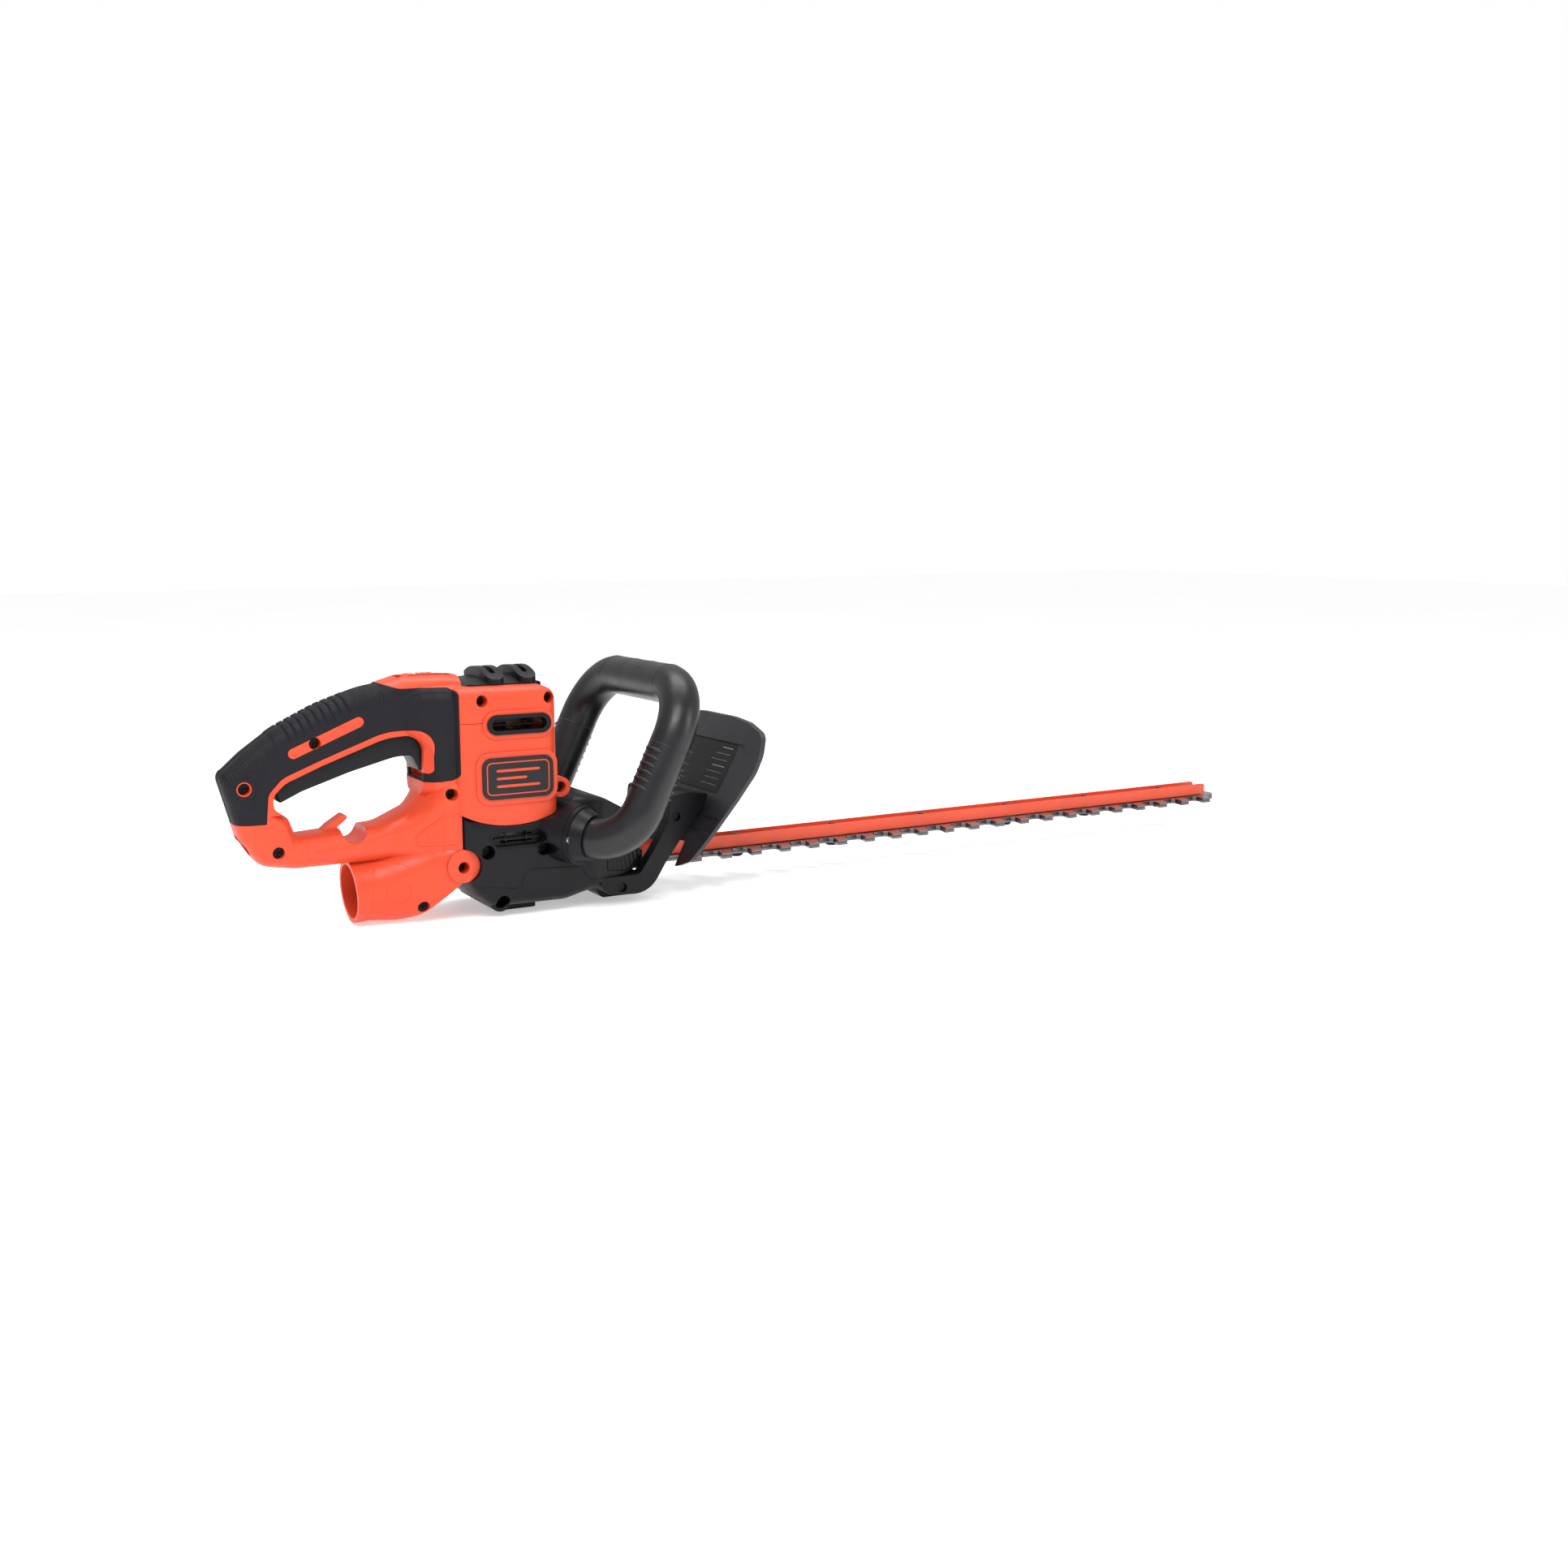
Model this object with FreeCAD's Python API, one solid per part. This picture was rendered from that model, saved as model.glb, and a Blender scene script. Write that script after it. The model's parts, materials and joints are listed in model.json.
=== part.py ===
import FreeCAD, Part
import math
import os

from FreeCAD import Vector

# Corded hedge trimmer with a closed rear handle, a wrap-around bail handle and a double-sided blade.
# Millimetres. +X runs forward along the blade, +Y to the tool's left, +Z up, and the floor is z = 0.
# The origin is the middle of the flat base cover under the gearcase.

# Overall layout
MOTOR_X = -13.0
GEAR_X = 18.0
BODY_HALF_WIDTH = 40.0
CAP_RIB_X = (-15.7, 9.0)
GRIP_HALF_WIDTH = 17.0
TRIGGER_HALF_WIDTH = 14.2
CAVITY_HALF_WIDTH = 14.7
TRIGGER_PIVOT = (-160.0, 113.0)
SKIN = 2.0
MOTOR_BAY_RADIUS = 33.0

# Cutting gear
TOOTH_PITCH = 27.0
TEETH_PER_SIDE = 21
FIRST_TOOTH_X = 150.0
TOOTH_TIP_WIDTH = 9.4
TOOTH_TIP_Y = 25.0
BLADE_BAR_Y = 12.0
BLADE_THICKNESS = 2.0
LOWER_BLADE_Z = 22.0
UPPER_BLADE_Z = 24.4
BLADE_TIP_X = 712.0
ECCENTRIC_THROW = 6.75
ECCENTRIC_RADIUS = 8.0
YOKE_CLEARANCE = 0.4
CHANNEL_HALF_WIDTH = 8.4
CHANNEL_Z = 27.1
CHANNEL_TOP_Z = 36.8
CHANNEL_END_X = 698.0
CHANNEL_WALL = 1.5
BOLT_FIRST_X = 103.5
BOLT_SPACING = 90.7
BOLT_COUNT = 7

# Gear pair
PINION_TEETH = 10
GEAR_TEETH = 52
MODULE = 1.0
GEAR_Z = 34.0
GEAR_THICKNESS = 8.0

# Bail handle, right-hand half; the left is its mirror image
BAIL_RADIUS = 15.0
BAIL_WALL = 3.0
BAIL_ROOT = Vector(36, -45, 58)
BAIL_ELBOW = Vector(60, -83, 53)
BAIL_CORNER = Vector(113, -84, 164.5)
BAIL_ELBOW_RADIUS = 34.0
BAIL_CORNER_RADIUS = 40.0
BAIL_GRIP_HALF_LENGTH = 47.0

# Guard: a plate leaning forward with the bail
GUARD_FOOT_X = 114.7
GUARD_SLOPE = 0.47

# Power inlet shroud
SHROUD_MOUTH = Vector(-121, 0, 24.2)
SHROUD_TILT = math.radians(3.5)
SHROUD_AXIS = Vector(-math.cos(SHROUD_TILT), 0, -math.sin(SHROUD_TILT))
SHROUD_RADIUS = 23.0
SHROUD_BORE = 19.5

# Housing screws: x, z, depth of the seat and end of the shank
HOUSING_SCREWS = [
    (-145, 134, -9, 12), (-194, 106, -9, 12), (-173, 60, -10, 12), (-32, 159, -28, 14),
    (19, 159, -28, 14), (-54, 93, -24, 14), (29, 92, -26, 14), (-48, 40, -24, 14), (-75, 12.5, -20, 12),
]
GEARCASE_SCREWS = [(-31, 50, -30, -18), (12, 49, -32, -20), (-20, 12, -22, 12), (97, 42, -18, 12)]


def box(x0, x1, y0, y1, z0, z1):
    """Box between two corners."""
    return Part.makeBox(x1 - x0, y1 - y0, z1 - z0, Vector(x0, y0, z0))


def tube_y(x, z, radius, y0, y1):
    """Cylinder along Y."""
    return Part.makeCylinder(radius, y1 - y0, Vector(x, y0, z), Vector(0, 1, 0))


def tube_z(x, y, radius, z0, z1):
    """Cylinder along Z."""
    return Part.makeCylinder(radius, z1 - z0, Vector(x, y, z0), Vector(0, 0, 1))


def ring_z(x, y, outer, inner, z0, z1):
    """Ring along Z."""
    return tube_z(x, y, outer, z0, z1).cut(tube_z(x, y, inner, z0 - 1, z1 + 1))


def fuse(shapes):
    """One solid out of several that touch or overlap."""
    return shapes[0].multiFuse(shapes[1:]).removeSplitter()


def mirrored(shape):
    """Mirror image across the tool's middle plane."""
    return shape.mirror(Vector(0, 0, 0), Vector(0, 1, 0))


def pair(shape):
    """A right-hand shape with its mirror image, as one compound."""
    return Part.makeCompound([shape, mirrored(shape)])


def right_half(shape):
    """The part of a shape on the tool's right."""
    return shape.common(box(-400, 800, -200, 0, -50, 300))


def offset_corners(corners, distance):
    """Corners of a counter-clockwise outline moved inwards by a distance."""
    moved = []
    for i, (x, z, radius) in enumerate(corners):
        before = corners[i - 1]
        after = corners[(i + 1) % len(corners)]
        a = Vector(x - before[0], z - before[1], 0).normalize()
        b = Vector(after[0] - x, after[1] - z, 0).normalize()
        normal = Vector(-a.y - b.y, a.x + b.x, 0)
        scale = distance / (1 + a.dot(b))
        turn = a.x * b.y - a.y * b.x
        bend = radius - math.copysign(distance, turn)
        moved.append((x + normal.x * scale, z + normal.y * scale, max(bend, 0.3)))
    return moved


def rounded_wire(corners, place):
    """Closed wire of straight edges and corner arcs; place turns (u, v) into a point in space."""
    arcs = []
    for i, (u, v, radius) in enumerate(corners):
        before = corners[i - 1]
        after = corners[(i + 1) % len(corners)]
        to_before = Vector(before[0] - u, before[1] - v, 0)
        to_after = Vector(after[0] - u, after[1] - v, 0)
        room = 0.48 * min(to_before.Length, to_after.Length)
        to_before.normalize()
        to_after.normalize()
        half = 0.5 * math.acos(max(-1, min(1, to_before.dot(to_after))))
        reach = min(radius / math.tan(half), room)
        radius = reach * math.tan(half)
        corner = Vector(u, v, 0)
        bisector = (to_before + to_after).normalize()
        middle = corner + bisector * (radius / math.sin(half) - radius)
        arcs.append([corner + to_before * reach, middle, corner + to_after * reach])
    edges = []
    for i, arc in enumerate(arcs):
        start, middle, end = [place(p.x, p.y) for p in arc]
        edges.append(Part.Arc(start, middle, end).toShape())
        following = arcs[(i + 1) % len(arcs)][0]
        edges.append(Part.makeLine(end, place(following.x, following.y)))
    return Part.Wire(edges)


def side_prism(corners, y0, y1):
    """Side-view outline extruded from y0 to y1."""
    wire = rounded_wire(corners, lambda u, v: Vector(u, y0, v))
    return Part.Face(wire).extrude(Vector(0, y1 - y0, 0))


def plan_prism(corners, z0, z1):
    """Plan-view outline extruded from z0 to z1."""
    wire = rounded_wire(corners, lambda u, v: Vector(u, v, z0))
    return Part.Face(wire).extrude(Vector(0, 0, z1 - z0))


def pillow(corners, half_width, side_depth, edge_inset, steps=4):
    """Side-view outline given a width, its sides rounded over like a cushion; a negative inset flares out."""
    layers = []
    for i in range(steps + 1):
        angle = 0.5 * math.pi * i / steps
        y = half_width - side_depth * (1 - math.sin(angle))
        layers.append((y, edge_inset * (1 - math.cos(angle))))
    stack = [(-y, inset) for y, inset in reversed(layers)] + layers
    wires = []
    for y, inset in stack:
        outline = offset_corners(corners, inset)
        wires.append(rounded_wire(outline, lambda u, v, y=y: Vector(u, y, v)))
    return Part.makeLoft(wires, True, True)


def eased(values, places, at):
    """Value at a place on a smooth curve through given values that never overshoots them."""
    slopes = [(b - a) / (q - p) for a, b, p, q in zip(values, values[1:], places, places[1:])]
    tangents = [slopes[0]]
    for left, right in zip(slopes, slopes[1:]):
        tangents.append(0.0 if left * right <= 0 else 2 * left * right / (left + right))
    tangents.append(slopes[-1])
    i = max(k for k in range(len(slopes)) if places[k] <= at + 1e-9)
    span = places[i + 1] - places[i]
    t = (at - places[i]) / span
    return ((2 * t ** 3 - 3 * t ** 2 + 1) * values[i] + (t ** 3 - 2 * t ** 2 + t) * span * tangents[i]
            + (3 * t ** 2 - 2 * t ** 3) * values[i + 1] + (t ** 3 - t ** 2) * span * tangents[i + 1])


def section_loft(sections, steps=3):
    """Solid through rounded rectangles eased along X: x, half width, bottom z, top z, corner radius."""
    places = [section[0] for section in sections]
    columns = list(zip(*sections))
    stations = []
    for x0, x1 in zip(places, places[1:]):
        stations += [x0 + (x1 - x0) * i / steps for i in range(steps)]
    stations.append(places[-1])
    wires = []
    for station in stations:
        x, half, z0, z1, radius = [eased(column, places, station) for column in columns]
        corners = [(-half, z0, radius), (half, z0, radius), (half, z1, radius), (-half, z1, radius)]
        wires.append(rounded_wire(corners, lambda u, v, x=x: Vector(x, u, v)))
    return Part.makeLoft(wires, True, True)


def obround(x0, x1, z, radius, y0, y1):
    """Slot shape along X, extruded in Y."""
    body = box(x0, x1, y0, y1, z - radius, z + radius)
    return fuse([body, tube_y(x0, z, radius, y0, y1), tube_y(x1, z, radius, y0, y1)])


# ---------------------------------------------------------------- housing outlines

HANDLE = [
    (-197, 69, 6), (-184, 50, 14), (-160, 46, 30), (-40, 46, 2), (-40, 171, 2), (-70, 173.5, 80),
    (-105, 171.5, 90), (-140, 159.5, 90), (-170, 145, 70), (-192, 129.5, 30), (-209, 114.5, 7),
    (-203, 92, 40),
]
LOOP = [
    (-159, 69.5, 5), (-100, 73, 25), (-70.5, 86, 18), (-68.5, 135.5, 12), (-95, 134, 50), (-140, 118, 60),
    (-166, 107.5, 18), (-175, 99, 9), (-174, 90, 5), (-163, 82, 8),
]
ARM_SIDE = [(-190, 40, 1), (-40, 40, 1), (-40, 106, 1), (-90, 96, 1), (-160, 86, 1), (-190, 86, 1)]
OVERMOULD = [
    (-230, 81, 1), (-180, 80.5, 1), (-178, 101, 9), (-168, 111.5, 18), (-140, 122.5, 60), (-96, 138.5, 50),
    (-64, 139.5, 12), (-64, 110, 3), (-66.5, 107.5, 2.5), (-72.5, 108.5, 2), (-76, 101.5, 1),
    (-66, 101.5, 8), (-48, 103.5, 6), (-48, 168.8, 6), (-85, 168.8, 12), (-95, 172, 8), (-106, 178, 4),
    (-112, 200, 1), (-230, 200, 1),
]
BUMP = [
    (-100, 150, 5), (-16, 150, 5), (-16, 168, 8), (-34, 175.5, 20), (-50, 177, 30), (-80, 177, 20),
    (-104, 170, 10),
]
MOTOR_BLOCK = [(-51, 60, 4), (26, 60, 4), (26, 164, 12), (14, 168.5, 14), (-51, 168.5, 4)]
GEARCASE = [
    (-45, 30, 2), (-37, 17.5, 6), (-28, 8.5, 8), (-10, 8, 10), (30, 7.5, 24), (56, 14, 16), (74, 20, 10),
    (96, 26, 8), (99, 50, 12), (88, 67, 14), (62, 82, 30), (44, 85, 12), (27, 85, 3), (27, 76, 1),
    (-48, 76, 1), (-48, 40, 2),
]
GRIP_CAVITY = [
    (-170, 88, 2), (-64, 104, 1), (-61.5, 150, 3), (-64, 162, 3), (-98, 160.5, 30), (-132, 149.5, 40),
    (-158, 137, 20), (-180, 121, 8), (-179, 104, 4),
]
ARM_CAVITY = [
    (-188, 60, 4), (-178, 52, 3), (-55, 52, 2), (-55, 58, 2), (-172, 58, 2), (-187, 104, 6), (-192, 92, 4),
]
TRIGGER = [
    (-170, 93.5, 2), (-155, 100.5, 40), (-121, 111.5, 70), (-88, 120, 40), (-75.5, 120.5, 5), (-70.5, 109, 1),
    (-66.5, 110, 2), (-66, 133, 4), (-72, 141, 4), (-98, 140, 30), (-132, 128, 50), (-162, 117, 10),
    (-174, 103, 5),
]
COVER = [(-14, -14, 4), (16, -14, 4), (16, 14, 4), (-14, 14, 4)]
BADGE = [(-34, 88, 7), (20, 88, 7), (20, 118, 7), (-34, 118, 7)]
BADGE_PAD = [(-38, 84, 10), (23.5, 84, 10), (23.5, 122, 10), (-38, 122, 10)]
PILL_TURN = math.degrees(math.atan2(19, 46))


def pill_prism(radius):
    """Slanted slot shape of the accent on the grip, through the whole width."""
    length = math.hypot(46, 19)
    slot = obround(-160, -160 + length, 128, radius, -30, 30)
    slot.rotate(Vector(-160, 0, 128), Vector(0, 1, 0), -PILL_TURN)
    return slot


def gearcase_room():
    """Space in front of the housing's tail that the gearcase fills."""
    return box(-48, 60, -60, 60, -20, 77.5)


def handle_solid(inset):
    """Closed rear handle, flared neck and lower arm, all drawn in by an inset."""
    outer = pillow(offset_corners(HANDLE, inset), GRIP_HALF_WIDTH - inset, 12 - inset, 11, 6)
    neck = section_loft([
        (-104, 10 - inset, 140 + inset, 165 - inset, 9), (-88, 17 - inset, 137 + inset, 169.5 - inset, 12),
        (-72, 25 - inset, 128 + inset, 170 - inset, 13), (-58, 31 - inset, 106 + inset, 170 - inset, 13),
        (-42, 34 - inset, 104 + inset, 170 - inset, 12),
    ])
    post = section_loft([
        (-70.5, 18 - inset, 92, 140, 8), (-60, 30 - inset, 92, 140, 10), (-42, 34 - inset, 92, 140, 10),
    ])
    rounded = pillow(offset_corners(LOOP, -inset), GRIP_HALF_WIDTH + 1, 12, -9)
    rounded = rounded.common(side_prism(ARM_SIDE, -60, 60))
    loop = rounded.fuse(pillow(offset_corners(LOOP, -inset), GRIP_HALF_WIDTH + 1, 3, -2))
    wide_loop = side_prism(offset_corners(LOOP, -inset), -60, 60)
    return fuse([outer.cut(loop), neck.cut(wide_loop), post.cut(wide_loop)]).cut(gearcase_room())


def tail_solid():
    """Where the lower arm and the inlet shroud widen into the body."""
    arm = section_loft([
        (-112, 14, 48, 71, 9), (-92, 17, 46, 74, 10), (-74, 24, 42, 84, 12), (-60, 32, 38, 100, 13),
        (-44, 37, 32, 110, 12),
    ])
    arm = arm.cut(side_prism(LOOP, -60, 60))
    belly = section_loft([
        (-112, 21.5, 2.5, 46, 20), (-92, 24, 1.5, 50, 18), (-76, 28, 4, 54, 16), (-60, 34, 17, 56, 9),
        (-48, 37, 29, 53, 3),
    ])
    rim = Part.makeCylinder(SHROUD_RADIUS, 34, SHROUD_MOUTH, SHROUD_AXIS * -1)
    boss = tube_y(-48, 41, 12, -37, 37)
    return fuse([fuse([arm, belly, rim]).cut(gearcase_room()), boss])


def motor_block():
    """Upright motor housing, its underside arched over the gearcase."""
    block = pillow(MOTOR_BLOCK, BODY_HALF_WIDTH, 10, 9, 6)
    inner = pillow(offset_corners(MOTOR_BLOCK, 0.5), BODY_HALF_WIDTH - 0.5, 10, 9, 6)
    block = block.cut(box(-60, 60, -60, 60, 143.0, 143.5).cut(inner))
    arch = tube_y(-10, 148, 80, -60, 60)
    block = block.common(arch)
    bosses = tube_y(29, 92, 7.5, -34, 34)
    return fuse([block, bosses])


def side_pads():
    """Raised rims round the vents and badges."""
    vent = obround(-22, 11.5, 141.5, 10.2, -BODY_HALF_WIDTH - 1.2, -BODY_HALF_WIDTH + 3)
    badge = side_prism(BADGE_PAD, -BODY_HALF_WIDTH - 1.2, -BODY_HALF_WIDTH + 3)
    return [vent, badge, mirrored(vent), mirrored(badge)]


def cord_hook():
    """Finger on the lower arm that holds back a loop of cord."""
    return side_prism([
        (-145, 66, 1), (-133, 66, 1), (-130, 71.5, 3), (-121, 78.5, 2), (-123.5, 81.5, 2), (-135, 74.5, 6),
    ], -5.5, 5.5)


def housing_solid(handle):
    """Whole outer housing before it is split and hollowed."""
    bump = pillow(BUMP, 19, 14, 9)
    solid = fuse([handle, motor_block(), tail_solid(), bump] + side_pads())
    notch = tube_y(-119.5, 70, 8.6, -60, 60)
    return fuse([solid.cut(notch), cord_hook()])


def motor_bay():
    """Round room for the motor."""
    return tube_z(MOTOR_X, 0, MOTOR_BAY_RADIUS, 40, 153)


def grip_cavity():
    """Room in the grip for the trigger and its switch."""
    return side_prism(GRIP_CAVITY, -CAVITY_HALF_WIDTH, CAVITY_HALF_WIDTH)


def arm_cavity():
    """Passage for the wires along the lower arm."""
    return side_prism(ARM_CAVITY, -8, 8)


def lock_pocket():
    """Recess that the lock slider runs in."""
    return box(-83, -43, -8.5, 8.5, 163, 190)


def housing_cavities():
    """Everything hollowed out of the orange housing."""
    vents = obround(-22, 12, 141.5, 5.2, -60, 60)
    wire_way = box(-62, -40, -9, 9, 53, 62)
    bore = Part.makeCylinder(SHROUD_BORE, 34, SHROUD_MOUTH + SHROUD_AXIS, SHROUD_AXIS * -1)
    scoop = Part.makeCylinder(9, 20, Vector(-191, 0, 66.5), Vector(-0.8, 0, -0.6))
    cap_recess = plan_prism([
        (-39.2, -26.2, 8), (21.2, -26.2, 8), (21.2, 26.2, 8), (-39.2, 26.2, 8),
    ], 164, 190)
    rib_seats = [upright_slot(x, 7.2, 27.8, 6.8, 167, 190) for x in CAP_RIB_X]
    return [
        grip_cavity(), arm_cavity(), motor_bay(), vents, wire_way, bore, scoop, lock_pocket(), cap_recess,
        trigger_pin(),
    ] + rib_seats


def screw_passages(screws, seat_radius):
    """Counterbores and clearance holes of the right half, and the pilot holes of the left half."""
    right = []
    left = []
    for x, z, seat, end in screws:
        right.append(tube_y(x, z, seat_radius, -60, seat))
        right.append(tube_y(x, z, 1.9, seat - 1, min(end, 0) + 0.5))
        if end > 0:
            left.append(tube_y(x, z, 1.65, -0.5, end))
    return right, left


def screw_set(screws):
    """Recessed screws with crossed slots, one solid each."""
    made = []
    for x, z, seat, end in screws:
        head = tube_y(x, z, 3.6, seat - 2.5, seat)
        shank = tube_y(x, z, 1.6, seat - 0.5, end - 0.5)
        screw = head.fuse(shank)
        for width, height in ((4.4, 0.9), (0.9, 4.4)):
            cross = box(x - width / 2, x + width / 2, seat - 3, seat - 1.2, z - height / 2, z + height / 2)
            screw = screw.cut(cross)
        made.append(screw)
    return Part.makeCompound(made)


def screw_posts(whole, screws):
    """Columns that stand in the cavities round the screws."""
    hollow = grip_cavity().fuse(arm_cavity())
    posts = [tube_y(x, z, 5.0, -36, 36).common(whole).common(hollow) for x, z, seat, end in screws]
    return [post for post in posts if post.Volume > 1]


def housing_parts():
    """Right and left orange halves and right and left overmouldings."""
    outer = handle_solid(0.0)
    inner = handle_solid(SKIN)
    region = side_prism(OVERMOULD, -60, 60)
    whole = housing_solid(outer)
    skin = whole.common(region).cut(inner)
    accent = pill_prism(3.6)
    ring = tube_y(-194, 106, 5.0, -60, 60)
    skin = skin.cut(fuse([accent, ring]))
    core = whole.cut(skin)
    for cavity in housing_cavities():
        core = core.cut(cavity)
    skin = skin.cut(lock_pocket()).cut(grip_cavity()).cut(trigger_pin())
    core = fuse([core] + screw_posts(whole, HOUSING_SCREWS[:3]))
    right_cuts, left_cuts = screw_passages(HOUSING_SCREWS, 4.2)
    right = right_half(core)
    left = mirrored(right)
    right_skin = right_half(skin)
    left_skin = mirrored(right_skin)
    for cut in right_cuts:
        right = right.cut(cut)
        right_skin = right_skin.cut(cut)
    for cut in left_cuts:
        left = left.cut(cut)
    return right, left, right_skin, left_skin


# ---------------------------------------------------------------- gearcase

def bail_direction():
    """Unit vector along the start of the right-hand bail leg."""
    return (BAIL_ELBOW - BAIL_ROOT).normalize()


def gearcase_parts():
    """Right and left halves of the black gearcase."""
    shell = pillow(GEARCASE, 41, 10, 8)
    plan = plan_prism([
        (-60, -50, 1), (36, -50, 4), (60, -38, 20), (100, -27, 6), (100, 27, 6), (60, 38, 20), (36, 50, 4),
        (-60, 50, 1),
    ], -5, 100)
    shell = shell.common(plan)
    direction = bail_direction()
    boss = Part.makeCylinder(22.5, 26, BAIL_ROOT - direction * 24, direction)
    feet = tube_y(-20, 12, 8.0, -34, 34)
    shell = fuse([shell, boss, mirrored(boss), feet])
    socket = Part.makeCylinder(BAIL_RADIUS, 60, BAIL_ROOT - direction * 8, direction)
    seat = Part.makeCylinder(22.4, 50, BAIL_ROOT + direction * 2, direction)
    cuts = [
        tube_y(-10, 148, 80.3, -60, 60), tube_y(-48, 41, 12.3, -60, 60), socket, mirrored(socket),
        seat, mirrored(seat), plan_prism(COVER, 0, 8.62), tube_z(MOTOR_X, 0, MOTOR_BAY_RADIUS, 58, 90),
        tube_z(MOTOR_X, 0, 8, 30, 60), tube_z(GEAR_X, 0, 29.5, 26.9, 44.5),
        tube_z(GEAR_X, 0, 7, 44, 57), box(-13, 46, -20, 20, 21.5, 27.1), box(40, 120, -13, 13, 21.5, 27.1),
        box(52, 120, -8.4, 8.4, 27, 36.8), box(-11, 41, -19, 19, 10.5, 19), box(-8, 10, -8, 8, 5, 11),
        obround(-22, 6, 58.5, 5.5, -60, -34), obround(-22, 6, 58.5, 5.5, 34, 60),
        obround(-22, 6, 58.5, 4.0, -36, 36), bracket_solid(),
    ]
    for cut in cuts:
        shell = shell.cut(cut)
    shell = shell.cut(tube_z(BOLT_FIRST_X, 0, 6.2, 10, 24))
    right_cuts, left_cuts = screw_passages(GEARCASE_SCREWS, 5.2)
    right = right_half(shell)
    left = mirrored(right)
    for cut in right_cuts:
        right = right.cut(cut)
    for cut in left_cuts:
        left = left.cut(cut)
    return right, left


def cover_screw_places():
    """Middles of the base cover's screws."""
    return [(x, y) for x in (-10, 12) for y in (-10.2, 10.2)]


def base_cover():
    """Flat foot plate under the gearcase that the tool rests on."""
    plate = plan_prism(COVER, 0, 8.6)
    for x, y in cover_screw_places():
        plate = plate.cut(tube_z(x, y, 2.6, -1, 3)).cut(tube_z(x, y, 1.4, 2, 10))
    return plate


def cover_screws():
    """Four screws of the base cover."""
    made = [fuse([tube_z(x, y, 2.4, 1.4, 3), tube_z(x, y, 1.3, 2.5, 8.4)]) for x, y in cover_screw_places()]
    return Part.makeCompound(made)


def vent_grille():
    """Slats inside the gearcase's side vent, with a slotted baffle behind them."""
    slats = [box(-26, 10, -39.2, -36.6, 58.0, 59.0), box(-30, 14, -36.6, -35.6, 50, 66)]
    for x in (-17, -1):
        slats.append(box(x - 0.6, x + 0.6, -39.2, -36.6, 54.7, 62.3))
    grille = fuse(slats).common(obround(-22, 6, 58.5, 5.5, -60, -34))
    return grille.cut(obround(-20, 4, 56, 0.6, -40, -30)).cut(obround(-20, 4, 61, 0.6, -40, -30))


# ---------------------------------------------------------------- trim

def vent_frame():
    """Black pill-shaped frame of the upper vent, with a louvre across its middle."""
    y = -BODY_HALF_WIDTH
    frame = obround(-22, 12, 141.5, 7.2, y - 2.4, y - 1.2)
    neck = obround(-22, 12, 141.5, 5.2, y - 2.4, y + 6.6)
    hole = obround(-21.5, 11.5, 141.5, 4.2, y - 9, y + 9)
    louvre = box(-24, 14, y + 4.6, y + 6.6, 140.3, 141.1)
    return fuse([fuse([frame, neck]).cut(hole), louvre])


def badge_plate():
    """Plain black plate on the motor housing's side."""
    y = -BODY_HALF_WIDTH - 1.2
    return side_prism(BADGE, y - 1.2, y)


def upright_slot(x, half_x, half_y, radius, z0, z1):
    """Rounded block centred on the middle plane."""
    corners = [(-half_x, -half_y), (half_x, -half_y), (half_x, half_y), (-half_x, half_y)]
    return plan_prism([(x + dx, y, radius) for dx, y in corners], z0, z1)


def top_cap():
    """Ribbed cap over the motor, domed both ways, with two hairpin ribs across it."""
    base = plan_prism([(-39, -26, 8), (21, -26, 8), (21, 26, 8), (-39, 26, 8)], 164.5, 190)
    base = base.common(Part.makeCylinder(70, 90, Vector(-55, 0, 104.5), Vector(1, 0, 0)))
    base = base.common(tube_y(-9, 104, 71, -60, 60))
    outer = Part.makeCylinder(51, 90, Vector(-55, 0, 129.8), Vector(1, 0, 0))
    ribs = []
    for x in CAP_RIB_X:
        rib = upright_slot(x, 7, 27.5, 6.6, 167.5, 190)
        slot = upright_slot(x, 2, 20, 1.9, 173.5, 200)
        ribs.append(rib.common(outer).cut(slot))
    return fuse([base] + ribs)


# ---------------------------------------------------------------- bail and guard

def fillet_path(points, radii):
    """Wire of straight runs joined by tangent arcs."""
    edges = []
    start = points[0]
    for i, radius in enumerate(radii):
        corner = points[i + 1]
        back = (points[i] - corner).normalize()
        ahead = (points[i + 2] - corner).normalize()
        half = 0.5 * math.acos(back.dot(ahead))
        reach = radius / math.tan(half)
        bisector = (back + ahead).normalize()
        middle = corner + bisector * (radius / math.sin(half) - radius)
        entry = corner + back * reach
        leave = corner + ahead * reach
        edges.append(Part.makeLine(start, entry))
        edges.append(Part.Arc(entry, middle, leave).toShape())
        start = leave
    edges.append(Part.makeLine(start, points[-1]))
    return Part.Wire(edges)


def bail_sweep(radius):
    """Round bar along the whole bail."""
    flip = [Vector(p.x, -p.y, p.z) for p in (BAIL_CORNER, BAIL_ELBOW)]
    direction = bail_direction()
    root = BAIL_ROOT - direction * 8
    points = [root, BAIL_ELBOW, BAIL_CORNER] + flip + [Vector(root.x, -root.y, root.z)]
    radii = [BAIL_ELBOW_RADIUS, BAIL_CORNER_RADIUS, BAIL_CORNER_RADIUS, BAIL_ELBOW_RADIUS]
    path = fillet_path(points, radii)
    circle = Part.Wire(Part.makeCircle(radius, root, direction))
    return path.makePipeShell([circle], True, False)


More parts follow.
